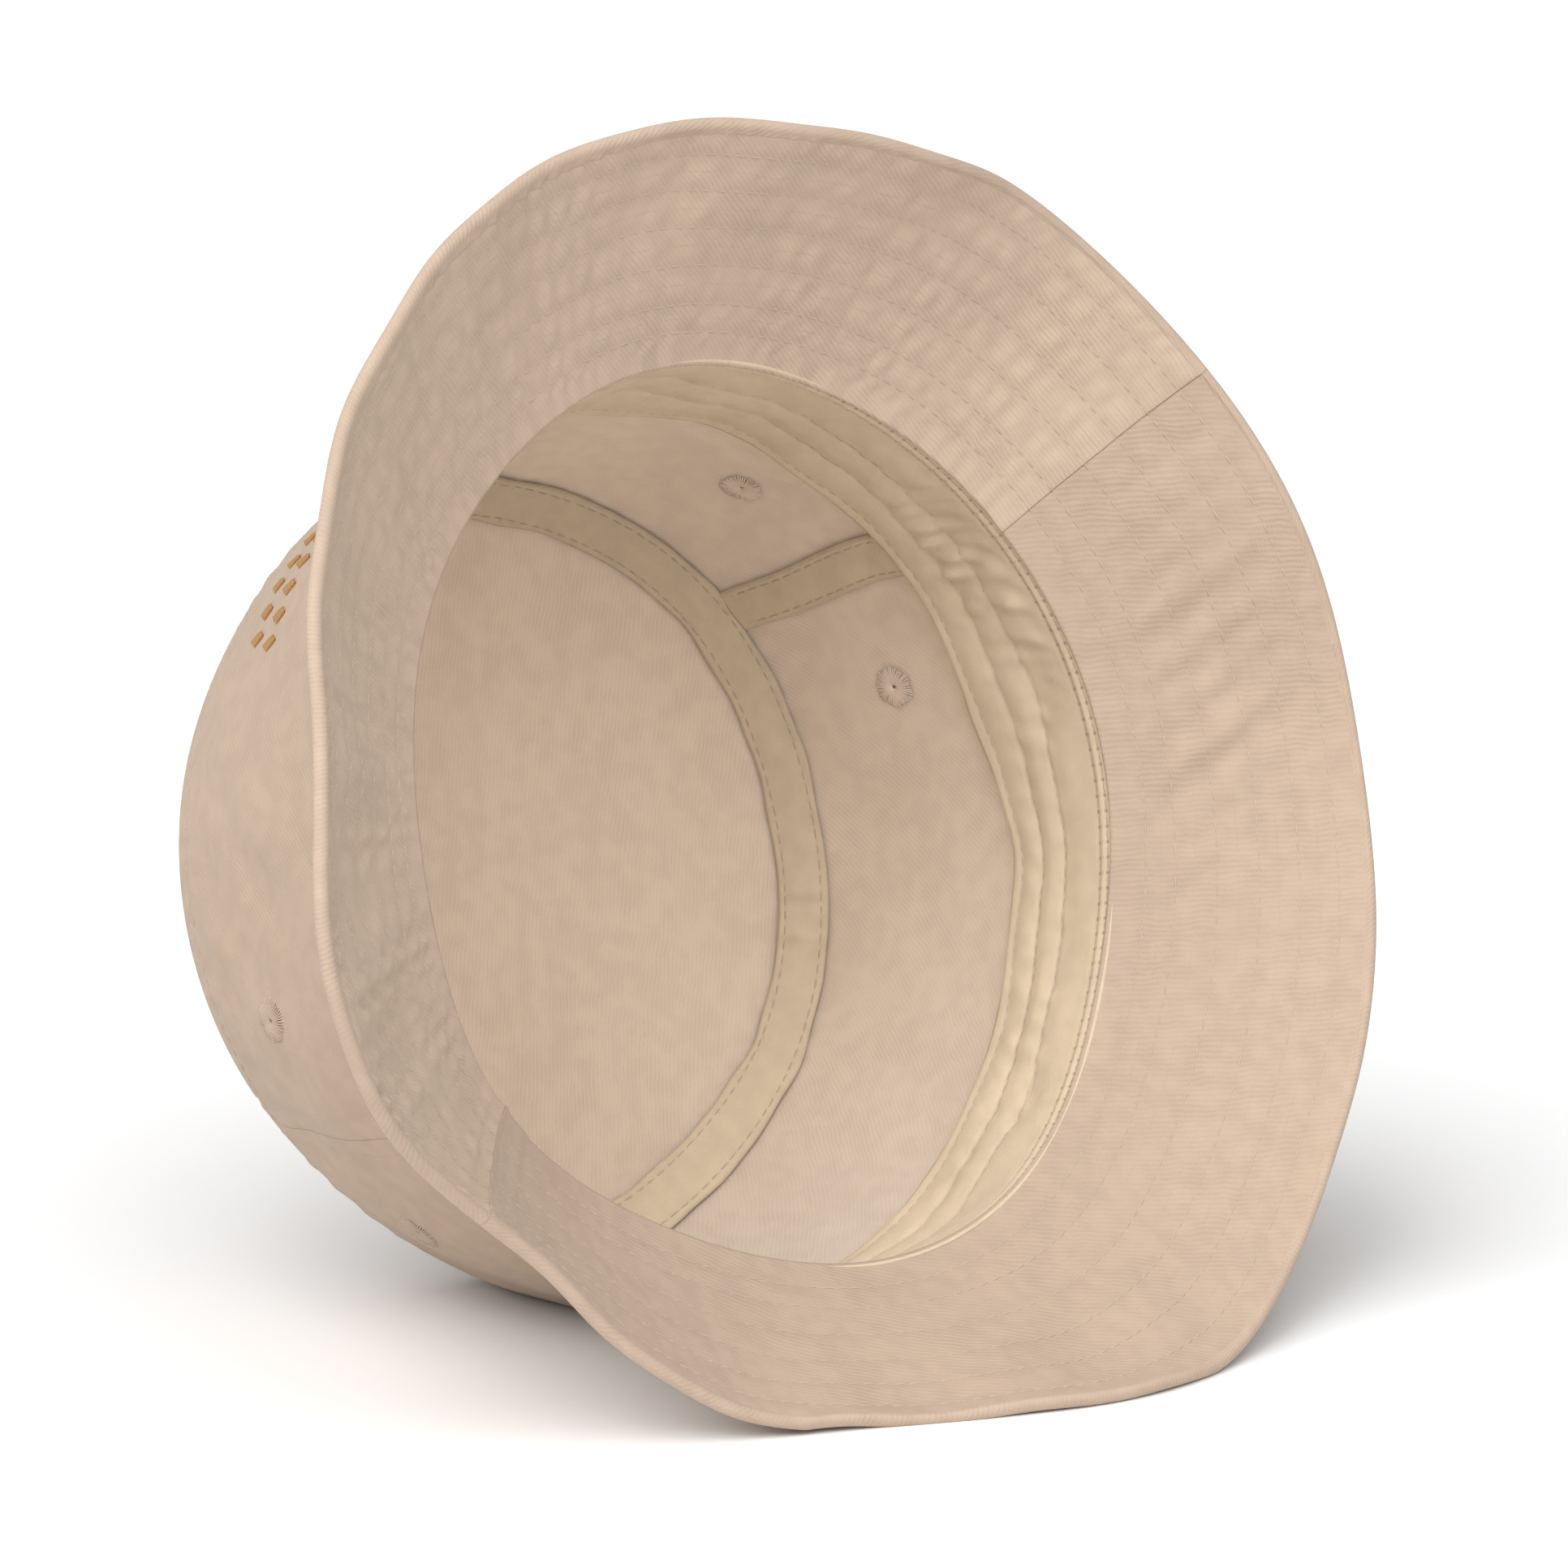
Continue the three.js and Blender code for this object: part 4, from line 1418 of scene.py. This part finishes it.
def make_needlework(hat, stitches, materials):
    """Two rows of satin-stitched lozenges on the front of the crown."""
    size = hat.size
    threads = Threads()
    draw = np.random.default_rng(stitches.seed + 5)
    width, height, spacing = 4.2 * MM, 5.4 * MM, 7.0 * MM
    lines = 13
    t = (np.arange(lines) + 0.5) / lines * 2 - 1
    half = width / 2 * (1 - np.abs(t)) + 0.25 * MM
    lift = np.array([-0.15, 0.3, 0.42, 0.3, -0.15])[None] * MM
    thick = 0.26 * MM * np.array([0.6, 1, 1.05, 1, 0.6])
    for row, level in enumerate((57.5, 66.5)):
        for k in range(-5, 6):
            middle = (k + 0.5 * row) * spacing
            x = np.stack([-half, -0.6 * half, 0 * half, 0.6 * half, half], axis=1)
            x = x + draw.uniform(-0.08, 0.08, (lines, 1)) * MM + middle
            y = level * MM + t[:, None] * height / 2 + 0 * x
            a = math.pi / 2 + x / (0.97 * size.half_length)
            s = y / size.crown_height
            paths = hat.side(a, s, -lift + 0 * a)
            normals = unit(hat.side(a, s, -lift - 1e-4 + 0 * a) - paths)
            threads.add(paths, normals, thick[None] + 0 * a)
    piece = threads.build("needlework_lozenges", materials["needlework"])
    finish_piece(piece, "thread")


def sew_brim(hat, stitches, materials, a):
    faces = {
        "brim_under_stitches": under_face(hat, stitches),
        "brim_upper_stitches": upper_face(hat, stitches),
    }
    for name, face in faces.items():
        threads = Threads()
        for i, row in enumerate(BRIM_ROWS):
            line, normals = line_on(face, a, row + 0 * a)
            stitch_row(threads, line, normals, stitches, stitches.seed + 20 + i)
        finish_piece(threads.build(name, materials["thread"]), "thread")


def sew_crown(hat, stitches, materials, a):
    """Rows round the crown side and top, and along its two side seams."""
    size = hat.size
    threads = Threads()
    face = crown_face(hat)
    for i, row in enumerate(crown_rows(size)):
        line, normals = line_on(face, a, row + 0 * a)
        stitch_row(threads, line, normals, stitches, stitches.seed + 40 + i)
    row = 1 - size.tape_width / 2 / size.top_half_width

    def top_face(a, s, lift):
        return hat.top(a, s, CROWN_GROOVE - lift)

    line, normals = line_on(top_face, a, row + 0 * a)
    stitch_row(threads, line, normals, stitches, stitches.seed + 44)
    share = np.linspace(0.03, 0.94, 400)
    for i, seam in enumerate((0.0, math.pi)):
        for side in (-1, 1):
            angle = seam + side * SEAM_ROW / size.half_width + 0 * share
            line, normals = line_on(face, angle, share)
            stitch_row(threads, line, normals, stitches, stitches.seed + 50 + 2 * i + side, 0.6)
    finish_piece(threads.build("crown_stitches", materials["eyelet"]), "thread")


def sew_sweatband(hat, stitches, materials, a):
    threads = Threads()
    face = band_face(hat)
    for i, row in enumerate(BAND_ROWS):
        line, normals = line_on(face, a, band_row(a, row))
        around = arc_length(hat, a)
        stitch_row(threads, line, normals, stitches, stitches.seed + 60 + i, travel=around)
    finish_piece(threads.build("sweatband_stitches", materials["band_thread"]), "thread")


def sew_tapes(hat, stitches, materials, a):
    size = hat.size
    threads = Threads()
    face = seam_tape_face(hat)
    for i, row in enumerate(TAPE_ROWS):
        line, normals = line_on(face, a, row + 0 * a)
        stitch_row(threads, line, normals, stitches, stitches.seed + 70 + i)
    heights = np.linspace(9 * MM, side_tape_top(size) - 1 * MM, 500)
    for i, middle in enumerate((0.0, math.pi)):
        face = side_tape_face(hat, middle)
        for j, row in enumerate(TAPE_ROWS):
            line, normals = line_on(face, row + 0 * heights, heights)
            stitch_row(threads, line, normals, stitches, stitches.seed + 80 + 2 * i + j)
    finish_piece(threads.build("tape_stitches", materials["band_thread"]), "thread")


def make_stitches(hat, stitches, materials):
    a = np.linspace(0, FULL, 2881)
    for sew in (sew_brim, sew_crown, sew_sweatband, sew_tapes):
        sew(hat, stitches, materials, a)


# ---- Operators ------------------------------------------------------------------------------


class HatOperator(Operator):
    """Shared by the operators that make the pieces."""

    bl_options = {"REGISTER", "UNDO"}

    def tools(self):
        """The hat's shape, its stitches and its finishes."""
        sizes, stitches, _, _ = settings()
        return Hat(sizes), stitches, hat_materials()


class HAT_OT_brim(HatOperator):
    """Makes both plies of the brim, in a front and a back half each"""

    bl_idname = "hat.brim"
    bl_label = "Brim"

    def execute(self, context):
        hat, stitches, materials = self.tools()
        for half, start in HALVES:
            make_under_brim(hat, stitches, materials, half, start)
            make_upper_brim(hat, stitches, materials, half, start)
        return {"FINISHED"}


class HAT_OT_crown(HatOperator):
    """Makes the two side panels and the top of the crown"""

    bl_idname = "hat.crown"
    bl_label = "Crown"

    def execute(self, context):
        hat, _, materials = self.tools()
        for half, start in HALVES:
            make_crown_side(hat, materials, half, start)
        make_crown_top(hat, materials)
        return {"FINISHED"}


class HAT_OT_sweatband(HatOperator):
    """Makes the sweatband inside the head opening"""

    bl_idname = "hat.sweatband"
    bl_label = "Sweatband"

    def execute(self, context):
        hat, _, materials = self.tools()
        make_sweatband(hat, materials)
        return {"FINISHED"}


class HAT_OT_tapes(HatOperator):
    """Makes the tapes over the inner seams"""

    bl_idname = "hat.tapes"
    bl_label = "Seam tapes"

    def execute(self, context):
        hat, _, materials = self.tools()
        make_seam_tape(hat, materials)
        make_side_tape(hat, materials, "right", 0.0)
        make_side_tape(hat, materials, "left", math.pi)
        return {"FINISHED"}


class HAT_OT_eyelets(HatOperator):
    """Works the four eyelets of the crown in thread"""

    bl_idname = "hat.eyelets"
    bl_label = "Eyelets"

    def execute(self, context):
        hat, stitches, materials = self.tools()
        for name, angle in eyelet_angles(hat.size).items():
            make_eyelet(hat, stitches, materials, name, angle)
        return {"FINISHED"}


class HAT_OT_stitches(HatOperator):
    """Sews every visible row of stitches"""

    bl_idname = "hat.stitches"
    bl_label = "Stitches"

    def execute(self, context):
        make_stitches(*self.tools())
        return {"FINISHED"}


class HAT_OT_needlework(HatOperator):
    """Embroiders the motif on the front of the crown"""

    bl_idname = "hat.needlework"
    bl_label = "Needlework"

    def execute(self, context):
        make_needlework(*self.tools())
        return {"FINISHED"}


class HAT_OT_stage(Operator):
    """Lays the floor, lights the hat and sets up the camera"""

    bl_idname = "hat.stage"
    bl_label = "Stage"
    bl_options = {"REGISTER", "UNDO"}

    def execute(self, context):
        sizes, _, _, stage = settings()
        scene = context.scene
        make_floor(stage)
        make_lights(scene, stage)
        make_camera(scene, stage, Hat(sizes).origin)
        scene.view_settings.view_transform = "Standard"
        return {"FINISHED"}


def make_floor(stage):
    """A plain floor, wide enough to have no edge in view."""
    clear("floor")
    mesh = bpy.data.meshes.new("floor")
    far = 8.0
    corners = [(-far, -far, 0), (far, -far, 0), (far, far, 0), (-far, far, 0)]
    mesh.from_pydata(corners, [], [(0, 1, 2, 3)])
    material, shader, nodes = start_material("Floor", 0.85)
    place = nodes.add("ShaderNodeTexCoord").outputs["Object"]
    grain = nodes.noise(place, 40.0, 3.0)
    tint = nodes.mix(grain, shade(stage.floor, 0.995), shade(stage.floor, 1.0))
    nodes.feed(shader.inputs["Base Color"], tint)
    mesh.materials.append(material)
    floor = bpy.data.objects.new("floor", mesh)
    bpy.context.scene.collection.objects.link(floor)


# Three broad lights: name, share of the strength, and the way each one shines.
SOFT_LIGHTS = (
    ("front_light", 1.2, (0.15, 0.75, -1.0)),
    ("fill_light", 1.0, (0.607, 0.766, -0.9)),
    ("side_light", 2.2, (1.2, 0.0, -1.4)),
)


def make_lights(scene, stage):
    world = bpy.data.worlds.new("Surround")
    world.use_nodes = True
    background = world.node_tree.nodes["Background"]
    background.inputs["Color"].default_value = (1.0, 1.0, 1.0, 1.0)
    background.inputs["Strength"].default_value = stage.surround
    scene.world = world
    for name, share, towards in SOFT_LIGHTS:
        clear(name)
        light = bpy.data.lights.new(name, "SUN")
        light.energy = stage.key * share
        light.angle = 60 * DEGREE
        lamp = bpy.data.objects.new(name, light)
        scene.collection.objects.link(lamp)
        lamp.rotation_mode = "QUATERNION"
        lamp.rotation_quaternion = Vector(towards).to_track_quat("-Z", "Y")


CAMERA_AZIMUTH = -38.37 * DEGREE
CAMERA_ELEVATION = 12.28 * DEGREE
CAMERA_DISTANCE = 1.5049
CAMERA_AIM = (5.0 * MM, 6.7 * MM)  # right and up from the middle of the head opening


def make_camera(scene, stage, origin):
    azimuth, elevation = CAMERA_AZIMUTH, CAMERA_ELEVATION
    level = math.cos(elevation)
    back = Vector((math.sin(azimuth) * level, -math.cos(azimuth) * level, math.sin(elevation)))
    right = Vector((0, 0, 1)).cross(back).normalized()
    up = back.cross(right)
    clear("camera")
    data = bpy.data.cameras.new("camera")
    data.lens = stage.lens
    data.sensor_width = 36.0
    data.clip_end = 50.0
    camera = bpy.data.objects.new("camera", data)
    scene.collection.objects.link(camera)
    aim = Vector(origin) + right * CAMERA_AIM[0] + up * CAMERA_AIM[1]
    camera.location = aim + back * CAMERA_DISTANCE
    camera.rotation_mode = "QUATERNION"
    camera.rotation_quaternion = (-back).to_track_quat("-Z", "Y")
    scene.camera = camera


STEPS = (
    HAT_OT_brim,
    HAT_OT_crown,
    HAT_OT_sweatband,
    HAT_OT_tapes,
    HAT_OT_eyelets,
    HAT_OT_stitches,
    HAT_OT_needlework,
    HAT_OT_stage,
)


class HAT_PT_panel(Panel):
    """Sizes, colours and steps of the hat"""

    bl_idname = "HAT_PT_panel"
    bl_label = "Bucket Hat"
    bl_space_type = "VIEW_3D"
    bl_region_type = "UI"
    bl_category = "Hat"

    def draw(self, context):
        scene = context.scene
        for step in STEPS:
            self.layout.operator(step.bl_idname)
        for group in (scene.hat_sizes, scene.hat_stitches, scene.hat_colours, scene.hat_stage):
            box = self.layout.box()
            for key in group.__annotations__:
                box.prop(group, key)


GROUPS = {
    "hat_sizes": HatSizes,
    "hat_stitches": HatStitches,
    "hat_colours": HatColours,
    "hat_stage": HatStage,
}
CLASSES = (*GROUPS.values(), *STEPS, HAT_PT_panel)


def register():
    for entry in CLASSES:
        bpy.utils.register_class(entry)
    for name, group in GROUPS.items():
        setattr(bpy.types.Scene, name, PointerProperty(type=group))


def unregister():
    for name in GROUPS:
        delattr(bpy.types.Scene, name)
    for entry in reversed(CLASSES):
        bpy.utils.unregister_class(entry)


def main():
    register()
    bpy.ops.hat.brim()
    bpy.ops.hat.crown()
    bpy.ops.hat.sweatband()
    bpy.ops.hat.tapes()
    bpy.ops.hat.eyelets()
    bpy.ops.hat.stitches()
    bpy.ops.hat.needlework()
    bpy.ops.hat.stage()


if __name__ == "__main__":
    main()
